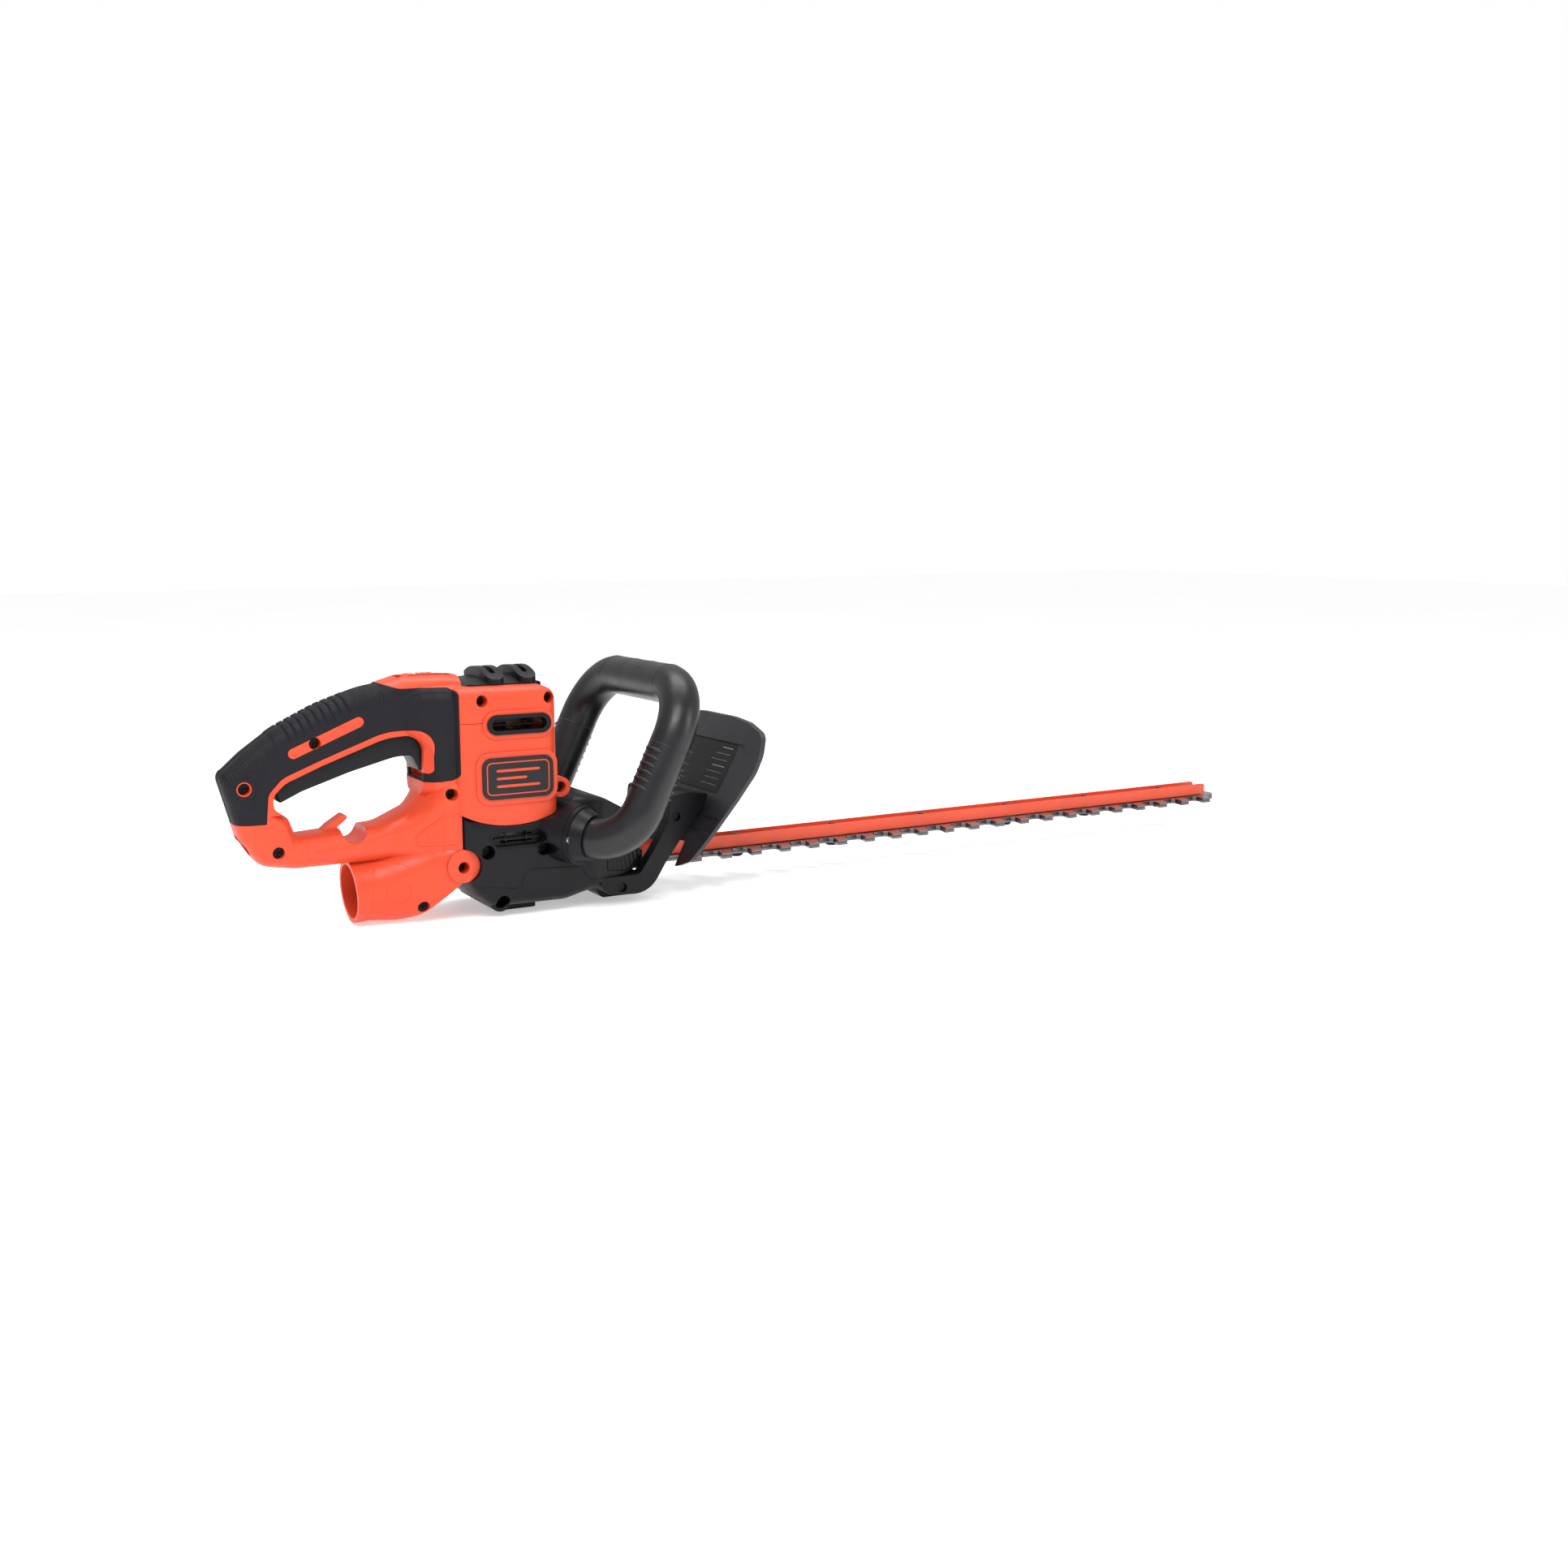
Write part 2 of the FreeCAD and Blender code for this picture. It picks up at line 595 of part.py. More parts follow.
def bail_parts():
    """Right leg, left leg and top grip of the hollow bail handle."""
    tube = bail_sweep(BAIL_RADIUS).cut(bail_sweep(BAIL_RADIUS - BAIL_WALL))
    half = BAIL_GRIP_HALF_LENGTH
    right = tube.common(box(0, 200, -200, -half, 0, 250))
    grip = tube.common(box(0, 200, -half, half, 120, 250))
    return right, mirrored(right), grip


def handle_collar():
    """Flange round the foot of the right bail leg."""
    direction = bail_direction()
    start = BAIL_ROOT + direction * 2
    flange = Part.makeCylinder(22.0, 4.0, start, direction)
    cone = Part.makeCone(20.5, 17.0, 9.0, start + direction * 4.0, direction)
    hole = Part.makeCylinder(BAIL_RADIUS + 0.02, 30, start - direction * 5, direction)
    return fuse([flange, cone]).cut(hole)


def handle_screw():
    """Screw in the rim of the right collar."""
    direction = bail_direction()
    side = direction.cross(Vector(0, 0, 1)).normalize()
    if side.x > 0:
        side = side * -1
    seat = BAIL_ROOT + direction * 5.0 + side * 19.2
    return Part.makeCylinder(2.6, 2.2, seat, direction)


def guard_place(y, height):
    """Point on the guard's rear face at a given height."""
    return Vector(GUARD_FOOT_X + GUARD_SLOPE * height, y, height)


def guard_outline(inset):
    """Half-symmetric outline of the guard as (y, z, radius), drawn in by an inset."""
    right = [
        (-30, 21.5, 12), (-47, 28, 10), (-57, 42, 20), (-65, 55, 20), (-76.5, 76, 40), (-86.5, 97.5, 14),
        (-86.5, 111, 14), (-79, 125.5, 14), (-52, 132, 40), (-25, 134, 60),
    ]
    left = [(-y, z, r) for y, z, r in reversed(right)]
    return offset_corners([(-y, z, r) for y, z, r in right + left][::-1], inset)


def guard_slab(outline, front, back):
    """Outline laid on the leaning guard plane and thickened; front and back are offsets along +X."""
    wire = rounded_wire(outline, lambda y, z: guard_place(y, z) + Vector(back, 0, 0))
    return Part.Face(wire).extrude(Vector(front - back, 0, 0))


def guard_plate():
    """Leaning guard: a plate with a raised border behind and a lip round its front."""
    plate = guard_slab(guard_outline(0), 4.0, 0.0)
    lip = guard_slab(guard_outline(0), 6.5, 0.0).cut(guard_slab(guard_outline(2.5), 12.0, -3.0))
    panel = [(-62, 50, 8), (62, 50, 8), (72, 108, 10), (60, 116, 14), (-60, 116, 14), (-72, 108, 10)]
    plate = fuse([plate, lip]).cut(guard_slab(panel, 1.5, -3.0))
    for side in (-1, 1):
        rib = [(side * 40, 62), (side * 71, 86), (side * 66, 62)]
        wire = Part.makePolygon([guard_place(y, z) for y, z in rib + rib[:1]])
        plate = plate.fuse(Part.Face(wire).extrude(Vector(1.6, 0, 0)))
    return plate.removeSplitter().cut(box(90, 250, -27.5, 27.5, 10, 40))


def bracket_solid():
    """Yoke that carries the guard: two curved arms, a shoe below the blade and a block above it."""
    arm = [
        (58.5, 12, 5), (67, 6.6, 6), (98, 5.5, 22), (112.5, 28, 30), (124, 43, 30), (143, 66, 4),
        (149.5, 77.5, 2), (131, 80, 4), (117, 78, 3), (114.5, 58, 12),
        (103, 39, 16), (90, 20.5, 8), (58.5, 20.5, 2),
    ]
    right = side_prism(arm, -38, -27.8)
    bridge = side_prism([
        (61, 9, 3), (101, 9, 3), (103, 15.5, 2), (96, 15.5, 1), (94, 20.5, 1), (61, 20.5, 2),
    ], -30, 30)
    foot = side_prism([(66, 4, 2), (70, 0, 3), (97, 0, 3), (101, 5, 3), (101, 12, 1), (66, 12, 1)], -13, 13)
    shoe = bridge.fuse(foot)
    block = side_prism([(120, 60, 3), (140, 60, 2), (148.5, 76, 2), (131, 79, 4), (119, 77, 3)], -30, 30)
    return fuse([right, mirrored(right), shoe, block])


def guard_bracket():
    """Bracket with its screw seats, clear of the guard plate."""
    solid = bracket_solid()
    for x, z in ((75.5, 12), (121.5, 62)):
        solid = solid.cut(tube_y(x, z, 3.6, -60, -34)).cut(tube_y(x, z, 3.6, 34, 60))
    return solid.cut(guard_slab([(-90, 10, 1), (90, 10, 1), (90, 140, 1), (-90, 140, 1)], 30, 0))


def guard_screws():
    """Screws in the bracket's arms."""
    made = []
    for x, z in ((75.5, 12), (121.5, 62)):
        made.append(tube_y(x, z, 3.3, -35.6, -34.0))
        made.append(tube_y(x, z, 3.3, 34.0, 35.6))
    return Part.makeCompound(made)


# ---------------------------------------------------------------- inlet

def inlet_parts():
    """Insulating disc deep in the shroud and the two flat prongs standing on it."""
    forward = SHROUD_AXIS * -1
    disc = Part.makeCylinder(SHROUD_BORE - 0.05, 7, SHROUD_MOUTH + forward * 26, forward)
    prongs = []
    for height in (-2.5, 10.5):
        prong = Part.makeBox(22, 6.4, 1.6, Vector(-22, -3.2, height - 0.8))
        prong.rotate(Vector(0, 0, 0), Vector(0, 1, 0), -math.degrees(SHROUD_TILT))
        prong.translate(SHROUD_MOUTH + forward * 29)
        prongs.append(prong)
        disc = disc.cut(prong)
    return disc, Part.makeCompound(prongs)


# ---------------------------------------------------------------- motor and drive

def gear_solid(x, z0, height, teeth, bore, phase):
    """Spur gear with straight-sided teeth, on a vertical axis."""
    pitch = 0.5 * MODULE * teeth
    points = []
    for i in range(teeth):
        for share, radius in ((-0.28, -1.15), (-0.17, 0.85), (0.17, 0.85), (0.28, -1.15)):
            angle = 2 * math.pi * (i + share + phase) / teeth
            reach = pitch + radius * MODULE
            points.append(Vector(x + reach * math.cos(angle), reach * math.sin(angle), z0))
    wire = Part.makePolygon(points + points[:1])
    return Part.Face(wire).extrude(Vector(0, 0, height)).cut(tube_z(x, 0, bore, z0 - 1, z0 + height + 1))


def armature_parts():
    """Shaft, core, windings, commutator, fan and pinion, all turning together."""
    shaft = tube_z(MOTOR_X, 0, 4, 33.5, 151)
    core = ring_z(MOTOR_X, 0, 16.5, 4, 88, 124)
    for i in range(12):
        slot = box(14, 18, -0.8, 0.8, 87, 125)
        slot.translate(Vector(MOTOR_X, 0, 0))
        slot.rotate(Vector(MOTOR_X, 0, 0), Vector(0, 0, 1), 30 * i)
        core = core.cut(slot)
    windings = Part.makeCompound([ring_z(MOTOR_X, 0, 15.5, 4, 81, 88), ring_z(MOTOR_X, 0, 15.5, 4, 124, 130)])
    commutator = ring_z(MOTOR_X, 0, 10, 4, 131, 141)
    blades = [ring_z(MOTOR_X, 0, 10, 4, 67.5, 78), ring_z(MOTOR_X, 0, 29, 4, 67.5, 69)]
    for i in range(12):
        vane = box(9, 28.5, -0.7, 0.7, 68, 77)
        vane.translate(Vector(MOTOR_X, 0, 0))
        vane.rotate(Vector(MOTOR_X, 0, 0), Vector(0, 0, 1), 30 * i)
        blades.append(vane)
    fan = fuse(blades)
    shaft = shaft.cut(ring_z(MOTOR_X, 0, 9, 3.2, 33, 43.5))
    pinion = gear_solid(MOTOR_X, GEAR_Z - 0.5, GEAR_THICKNESS + 1, PINION_TEETH, 3.2, 0.0)
    return shaft, core, windings, commutator, fan, pinion


def stator_parts():
    """Laminated field core and its two coils."""
    core = ring_z(MOTOR_X, 0, 32, 17.1, 88, 124)
    for side in (-1, 1):
        core = core.cut(box(MOTOR_X - 10, MOTOR_X + 10, 24.5 * side - 4.5, 24.5 * side + 4.5, 80, 130))
    coils = []
    for z0, z1 in ((80, 88), (124, 129)):
        ring = ring_z(MOTOR_X, 0, 30, 19, z0, z1)
        coils.append(ring.cut(box(MOTOR_X - 3, MOTOR_X + 3, -40, 40, z0 - 1, z1 + 1)))
    return core, Part.makeCompound(coils)


def bearing(z0, z1):
    """Plain ring standing for a ball bearing on the motor shaft."""
    return ring_z(MOTOR_X, 0, 11, 4.05, z0, z1)


def motor_end_frame():
    """Frame across the top of the motor bay that holds the top bearing and the brushes."""
    frame = ring_z(MOTOR_X, 0, 33, 11, 142.5, 149.5)
    for side in (-1, 1):
        frame = frame.cut(box(MOTOR_X - 17, MOTOR_X + 17, 20 * side - 6, 20 * side + 6, 142, 150))
    return frame


def brush_parts():
    """Brush holders, brushes and their springs, one of each on either side of the commutator."""
    holders, brushes, springs = [], [], []
    for side in (-1, 1):
        x0, x1 = sorted((MOTOR_X + 12 * side, MOTOR_X + 31 * side))
        holders.append(box(x0, x1, -4.5, 4.5, 131.5, 140.5).cut(box(x0 - 1, x1 + 1, -3.1, 3.1, 132.9, 139.1)))
        x0, x1 = sorted((MOTOR_X + 10.3 * side, MOTOR_X + 22 * side))
        brushes.append(box(x0, x1, -3, 3, 133, 139))
        x0, x1 = sorted((MOTOR_X + 22.2 * side, MOTOR_X + 30 * side))
        outer = Part.makeCylinder(2.6, x1 - x0, Vector(x0, 0, 136), Vector(1, 0, 0))
        springs.append(outer.cut(Part.makeCylinder(1.8, x1 - x0, Vector(x0, 0, 136), Vector(1, 0, 0))))
    return [Part.makeCompound(shapes) for shapes in (holders, brushes, springs)]


def drive_parts():
    """Drive gear, its shaft and the two eccentric cams below it."""
    gear = gear_solid(GEAR_X, GEAR_Z, GEAR_THICKNESS, GEAR_TEETH, 4, 0.5)
    for i in range(5):
        hole = tube_z(GEAR_X + 16, 0, 4.5, GEAR_Z - 1, GEAR_Z + GEAR_THICKNESS + 1)
        hole.rotate(Vector(GEAR_X, 0, 0), Vector(0, 0, 1), 72 * i)
        gear = gear.cut(hole)
    shaft = tube_z(GEAR_X, 0, 4, 27.1, 56)
    upper = tube_z(GEAR_X, ECCENTRIC_THROW, ECCENTRIC_RADIUS, 30.4, 33.8)
    upper = fuse([upper, tube_z(GEAR_X, 0, 12, 33.0, 34.0)]).cut(tube_z(GEAR_X, 0, 4, 20, 60))
    lower = tube_z(GEAR_X, -ECCENTRIC_THROW, ECCENTRIC_RADIUS, 27.1, 30.4).cut(tube_z(GEAR_X, 0, 4, 20, 60))
    return gear, shaft, upper, lower


def bearing_plate():
    """Plate between the motor and the gears that holds the lower bearing."""
    return ring_z(MOTOR_X, 0, 33, 11, 58, 63)


# ---------------------------------------------------------------- blades

def tooth_side():
    """One side of the blade from the drive end to the tip, as (x, y) on the right."""
    points = []
    for k in range(TEETH_PER_SIDE):
        tip = FIRST_TOOTH_X + k * TOOTH_PITCH
        rear = tip - TOOTH_TIP_WIDTH
        points += [
            (rear - 0.6, -BLADE_BAR_Y), (rear + 2.4, -BLADE_BAR_Y - 2.0), (rear, -TOOTH_TIP_Y),
            (tip, -TOOTH_TIP_Y), (tip + 4.2, -BLADE_BAR_Y - 2.2), (tip + 7.6, -BLADE_BAR_Y),
        ]
    return points


def blade(z0):
    """Double-sided blade with a yoke at its drive end and slots for the guide bolts."""
    half = tooth_side() + [(706, -11.0), (BLADE_TIP_X, -5.0)]
    outline = half + [(x, -y) for x, y in reversed(half)]
    wire = Part.makePolygon([Vector(x, y, z0) for x, y in outline + outline[:1]])
    bar = Part.Face(wire).extrude(Vector(0, 0, BLADE_THICKNESS))
    neck = box(20, 142, -BLADE_BAR_Y, BLADE_BAR_Y, z0, z0 + BLADE_THICKNESS)
    head = upright_slot(GEAR_X, 17, 19, 5, z0, z0 + BLADE_THICKNESS)
    solid = fuse([bar, neck, head])
    half_slot = ECCENTRIC_RADIUS + YOKE_CLEARANCE
    solid = solid.cut(upright_slot(GEAR_X, half_slot, 15.5, 8, z0 - 1, z0 + 5))
    for x in bolt_positions():
        solid = solid.cut(upright_slot(x, 11.7, 4.4, 4.3, z0 - 1, z0 + 5))
    return solid


def bolt_positions():
    """Where the guide bolts pass through the blades."""
    return [BOLT_FIRST_X + BOLT_SPACING * i for i in range(BOLT_COUNT)]


def blade_support():
    """Upward-opening channel that carries the blades."""
    wall = CHANNEL_WALL
    half = CHANNEL_HALF_WIDTH
    channel = box(52, CHANNEL_END_X, -half, half, CHANNEL_Z, CHANNEL_TOP_Z)
    trough = box(50, 720, wall - half, half - wall, CHANNEL_Z + wall, 60)
    nose = side_prism([
        (40, 20, 1), (CHANNEL_END_X, 20, 1), (CHANNEL_END_X, CHANNEL_TOP_Z, 2.5), (40, CHANNEL_TOP_Z, 1),
    ], -20, 20)
    channel = channel.cut(trough).common(nose)
    for x in bolt_positions():
        channel = channel.cut(tube_z(x, 0, 2.6, 20, 40))
    return channel


def blade_fasteners():
    """Guide bolts, their spacer sleeves and their nuts."""
    bolts, sleeves, nuts = [], [], []
    for x in bolt_positions():
        head = tube_z(x, 0, 5.6, 19.2, 21.6)
        dome = Part.makeCone(4.4, 5.6, 1.3, Vector(x, 0, 17.9), Vector(0, 0, 1))
        bolts.append(fuse([head, dome, tube_z(x, 0, 2.5, 21.0, 36.2)]))
        sleeves.append(ring_z(x, 0, 4.0, 2.55, 21.6, CHANNEL_Z))
        hexagon = []
        for i in range(7):
            angle = math.radians(60 * i)
            hexagon.append(Vector(x + 4.9 * math.cos(angle), 4.9 * math.sin(angle), CHANNEL_Z + CHANNEL_WALL))
        nut = Part.Face(Part.makePolygon(hexagon)).extrude(Vector(0, 0, 5.0))
        nuts.append(nut.cut(tube_z(x, 0, 2.5, 20, 40)))
    return [Part.makeCompound(shapes) for shapes in (bolts, sleeves, nuts)]


# ---------------------------------------------------------------- controls

def trigger():
    """Full-length trigger under the grip, bored for its pivot pin."""
    body = pillow(TRIGGER, TRIGGER_HALF_WIDTH, 2.5, 2, 3)
    body = body.cut(tube_y(*TRIGGER_PIVOT, 2.06, -20, 20))
    return body.cut(box(-90, -80, -4, 4, 133, 150))


def trigger_pin():
    """Pivot pin across the rear of the trigger."""
    return tube_y(*TRIGGER_PIVOT, 2.0, -16, 16)


def coil(x, y, z, radius, wire, height, turns):
    """Upright coil spring."""
    helix = Part.makeHelix(height / turns, height, radius)
    section = Part.Wire(Part.makeCircle(wire, Vector(radius, 0, 0), Vector(0, 1, 0.1)))
    spring = Part.Wire(helix).makePipeShell([section], True, True)
    spring.translate(Vector(x, y, z))
    return spring


def switch_body():
    """Trigger switch with its plunger."""
    outline = [(-124, 143.5, 1), (-104, 143.5, 1), (-104, 154, 1), (-117, 151.5, 1), (-124, 147, 1)]
    return side_prism(outline, -8, 8)


def lock_button():
    """Slider on top of the handle, with finger ridges."""
    outline = [
        (-77, 168, 1), (-50, 168, 1), (-50, 175.4, 2), (-54, 177.4, 3), (-74, 177.4, 3), (-77, 175.4, 2),
    ]
    top = side_prism(outline, -6.5, 6.5)
    base = box(-79, -50, -8, 8, 164, 168)
    button = fuse([top, base])
    for x in (-70, -66, -62, -58):
        button = button.cut(box(x - 0.6, x + 0.6, -7, 7, 176.7, 180))
    return button


def casing_nodes():
    """Housing, gearcase, covers and trim."""
    nodes = {}
    (nodes["right_housing"], nodes["left_housing"], nodes["right_grip_overmould"],
     nodes["left_grip_overmould"]) = housing_parts()
    nodes["right_gearcase"], nodes["left_gearcase"] = gearcase_parts()
    nodes["base_cover"] = base_cover()
    nodes["cover_screws"] = cover_screws()
    nodes["vent_grilles"] = pair(vent_grille())
    nodes["top_cap"] = top_cap()
    nodes["right_vent_frame"] = vent_frame()
    nodes["left_vent_frame"] = mirrored(nodes["right_vent_frame"])
    nodes["right_badge_plate"] = badge_plate()
    nodes["left_badge_plate"] = mirrored(nodes["right_badge_plate"])
    nodes["housing_screws"] = screw_set(HOUSING_SCREWS)
    nodes["gearcase_screws"] = screw_set(GEARCASE_SCREWS)
    nodes["inlet_insulator"], nodes["inlet_prongs"] = inlet_parts()
    return nodes


def handle_nodes():
    """Bail handle, its collars, and the guard with its bracket."""
    nodes = {}
    nodes["right_bail_leg"], nodes["left_bail_leg"], nodes["bail_top_grip"] = bail_parts()
    screw = handle_screw()
    nodes["right_handle_collar"] = handle_collar().cut(screw)
    nodes["left_handle_collar"] = mirrored(nodes["right_handle_collar"])
    nodes["handle_screws"] = pair(screw)
    nodes["guard_plate"] = guard_plate()
    nodes["guard_bracket"] = guard_bracket()
    nodes["guard_screws"] = guard_screws()
    return nodes


def motor_nodes():
    """Motor and gears."""
    nodes = {}
    nodes["stator_core"], nodes["field_coils"] = stator_parts()
    nodes["upper_motor_bearing"] = bearing(143, 149)
    nodes["lower_motor_bearing"] = bearing(58, 63)
    nodes["motor_end_frame"] = motor_end_frame()
    nodes["bearing_plate"] = bearing_plate()
    nodes["gear_bush"] = ring_z(GEAR_X, 0, 7, 4.05, 44.5, 57)
    nodes["brush_holders"], nodes["brushes"], nodes["brush_springs"] = brush_parts()
    (nodes["armature_shaft"], nodes["armature_core"], nodes["armature_windings"], nodes["commutator"],
     nodes["motor_fan"], nodes["pinion"]) = armature_parts()
    nodes["drive_gear"], nodes["gear_shaft"], nodes["upper_cam"], nodes["lower_cam"] = drive_parts()
    return nodes


def blade_nodes():
    """Blades, the channel that carries them and their fasteners."""
    nodes = {}
    nodes["blade_support"] = blade_support()
    nodes["blade_bolts"], nodes["blade_sleeves"], nodes["blade_nuts"] = blade_fasteners()
    nodes["upper_blade"] = blade(UPPER_BLADE_Z)
    nodes["lower_blade"] = blade(LOWER_BLADE_Z)
    return nodes


def control_nodes():
    """Trigger, switch and lock."""
    return {
        "trigger": trigger(),
        "trigger_pin": trigger_pin(),
        "trigger_spring": coil(-85, 0, 134, 2.6, 0.5, 25.5, 8),
        "switch_body": switch_body(),
        "lock_button": lock_button(),
    }


def main():
    """Make every node, write it and print its size."""
    os.makedirs("parts", exist_ok=True)
    for group in (casing_nodes, handle_nodes, motor_nodes, blade_nodes, control_nodes):
        for name, shape in group().items():
            shape.exportStep(os.path.join("parts", name + ".step"))
            bounds = shape.BoundBox
            print("%-22s valid=%s solids=%d vol=%.0f x %.1f..%.1f y %.1f..%.1f z %.1f..%.1f" % (
                name, shape.isValid(), len(shape.Solids), shape.Volume, bounds.XMin, bounds.XMax, bounds.YMin,
                bounds.YMax, bounds.ZMin, bounds.ZMax))


main()
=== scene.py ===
"""Looks of the hedge trimmer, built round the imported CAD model. Metres, in the CAD frame."""

import json
import math

import bmesh
import bpy
import numpy as np
from mathutils import Matrix, Vector
from mathutils.bvhtree import BVHTree
from mathutils.geometry import delaunay_2d_cdt


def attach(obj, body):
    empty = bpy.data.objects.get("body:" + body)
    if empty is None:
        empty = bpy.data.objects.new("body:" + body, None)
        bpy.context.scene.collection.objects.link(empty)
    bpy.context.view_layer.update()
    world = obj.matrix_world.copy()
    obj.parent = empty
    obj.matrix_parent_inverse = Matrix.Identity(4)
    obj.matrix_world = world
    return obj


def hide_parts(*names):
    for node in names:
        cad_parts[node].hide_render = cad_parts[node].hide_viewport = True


MM = 0.001

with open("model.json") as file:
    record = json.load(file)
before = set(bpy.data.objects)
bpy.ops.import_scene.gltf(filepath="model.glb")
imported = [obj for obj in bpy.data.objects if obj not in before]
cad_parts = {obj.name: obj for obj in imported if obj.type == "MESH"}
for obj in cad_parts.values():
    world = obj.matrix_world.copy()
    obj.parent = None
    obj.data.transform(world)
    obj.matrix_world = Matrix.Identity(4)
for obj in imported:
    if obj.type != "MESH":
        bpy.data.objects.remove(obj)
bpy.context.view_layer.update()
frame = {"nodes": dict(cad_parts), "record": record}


# ---------------------------------------------------------------- node helpers

class Paint:
    """One material's node tree, with short calls for the nodes used here."""

    def __init__(self, name, roughness=0.5, metallic=0.0):
        self.material = bpy.data.materials.new(name)
        self.material.use_nodes = True
        self.tree = self.material.node_tree
        self.shader = self.tree.nodes["Principled BSDF"]
        self.shader.inputs["Roughness"].default_value = roughness
        self.shader.inputs["Metallic"].default_value = metallic
        self.coords = self.add("ShaderNodeTexCoord").outputs["Object"]

    def add(self, kind, inputs=None, **settings):
        node = self.tree.nodes.new(kind)
        for key, value in settings.items():
            setattr(node, key, value)
        for key, value in (inputs or {}).items():
            self.feed(node.inputs[key], value)
        return node

    def feed(self, socket, value):
        if isinstance(value, bpy.types.NodeSocket):
            self.tree.links.new(value, socket)
        else:
            socket.default_value = value

    def noise(self, scale, detail=2.0, vector=None, roughness=0.5):
        inputs = {"Vector": vector or self.coords, "Scale": scale, "Detail": detail, "Roughness": roughness}
        return self.add("ShaderNodeTexNoise", inputs).outputs["Fac"]

    def stretched(self, x, y, z):
        """Object coordinates scaled per axis, for grain with a direction."""
        inputs = {"Vector": self.coords, "Scale": (x, y, z)}
        return self.add("ShaderNodeMapping", inputs).outputs["Vector"]

    def spread(self, value, low, high, start=0.3, end=0.7):
        inputs = {"Value": value, "From Min": start, "From Max": end, "To Min": low, "To Max": high}
        return self.add("ShaderNodeMapRange", inputs).outputs["Result"]

    def math(self, operation, a, b=0.0):
        return self.add("ShaderNodeMath", {0: a, 1: b}, operation=operation).outputs[0]

    def blend(self, factor, a, b):
        node = self.add("ShaderNodeMix", data_type="RGBA")
        for socket, value in ((0, factor), (6, a), (7, b)):
            self.feed(node.inputs[socket], value)
        return node.outputs[2]

    def edge(self, radius):
        """Normal that turns softly over sharp edges."""
        return self.add("ShaderNodeBevel", {"Radius": radius}, samples=4).outputs["Normal"]

    def bump(self, height, distance, normal=None, strength=1.0):
        inputs = {"Height": height, "Distance": distance, "Strength": strength}
        node = self.add("ShaderNodeBump", inputs)
        if normal is not None:
            self.feed(node.inputs["Normal"], normal)
        return node.outputs["Normal"]

    def set(self, **inputs):
        for key, value in inputs.items():
            self.feed(self.shader.inputs[key.replace("_", " ")], value)
        return self.material


def rgb(red, green, blue):
    """Linear colour from display values 0 to 255."""
    linear = [c / 12.92 if c <= 0.04045 else ((c + 0.055) / 1.055) ** 2.4
              for c in (red / 255, green / 255, blue / 255)]
    return (*linear, 1.0)


# ---------------------------------------------------------------- materials

def moulded(name, colour, roughness, grain=0.00002, grain_size=0.0006, edge=0.0005, specular=0.5, tint=0.06):
    """Moulded plastic or rubber: spark-eroded grain, faint flow in the colour, edges painted a little paler
    as a highlight.
    """
    paint = Paint(name, roughness)
    rounded = paint.edge(edge)
    flow = paint.noise(28, 3)
    dark = tuple(c * (1 - tint) for c in colour[:3]) + (1.0,)
    pale = tuple(min(1.0, c * (1 + tint)) for c in colour[:3]) + (1.0,)
    base = paint.blend(paint.spread(flow, 0, 1), dark, pale)
    # Painted highlight: where the bevelled normal turns away from the true normal, the edge is blended
    # towards a lighter copy of the colour.
    true_normal = paint.add("ShaderNodeNewGeometry").outputs["True Normal"]
    turn = paint.add("ShaderNodeVectorMath", {0: rounded, 1: true_normal}, operation="DOT_PRODUCT")
    edge_highlight = paint.spread(turn.outputs["Value"], 0.35, 0.0, 0.82, 0.985)
    highlight_colour = tuple(min(1.0, c * 1.25 + 0.012) for c in colour[:3]) + (1.0,)
    base = paint.blend(edge_highlight, base, highlight_colour)
    speckle = paint.noise(1 / grain_size, 2)
    gloss = paint.spread(paint.noise(75, 4), roughness - 0.05, roughness + 0.06)
    gloss = paint.math("ADD", gloss, paint.spread(speckle, -0.03, 0.03))
    normal = paint.bump(paint.noise(90, 1), 0.00008, rounded)
    normal = paint.bump(speckle, grain, normal)
    return paint.set(Base_Color=base, Roughness=gloss, Normal=normal, Specular_IOR_Level=specular)


def knurled(name, colour, roughness, pitch=0.0022, depth=0.0004):
    """Rubber with a fine diamond pattern, cut across the sides of the grip; stud tops painted lighter as
    highlight and valleys painted darker as shade.
    """
    paint = Paint(name, roughness)
    axes = paint.add("ShaderNodeSeparateXYZ", {"Vector": paint.coords}).outputs
    wave = 2 * math.pi / pitch
    along = paint.math("ADD", axes["X"], paint.math("MULTIPLY", axes["Y"], 0.6))
    rise = paint.math("ADD", axes["Z"], paint.math("MULTIPLY", axes["Y"], 0.8))
    first = paint.math("SINE", paint.math("MULTIPLY", paint.math("ADD", along, rise), wave * 0.7))
    second = paint.math("SINE", paint.math("MULTIPLY", paint.math("SUBTRACT", along, rise), wave * 0.7))
    studs = paint.math("MULTIPLY", first, second)
    tops = paint.spread(studs, 0.0, 1.0, -0.5, 0.6)
    # Painted shade and highlight: valleys take a darker and stud tops a lighter copy of the rubber colour.
    low = tuple(c * 0.55 for c in colour[:3]) + (1.0,)
    high = tuple(c * 1.5 for c in colour[:3]) + (1.0,)
    gloss = paint.spread(paint.noise(75, 4), roughness - 0.05, roughness + 0.06)
    normal = paint.bump(tops, depth)
    normal = paint.bump(paint.noise(1500, 2), 0.00001, normal)
    base = paint.blend(tops, low, high)
    return paint.set(Base_Color=base, Roughness=gloss, Normal=normal, Specular_IOR_Level=0.25)


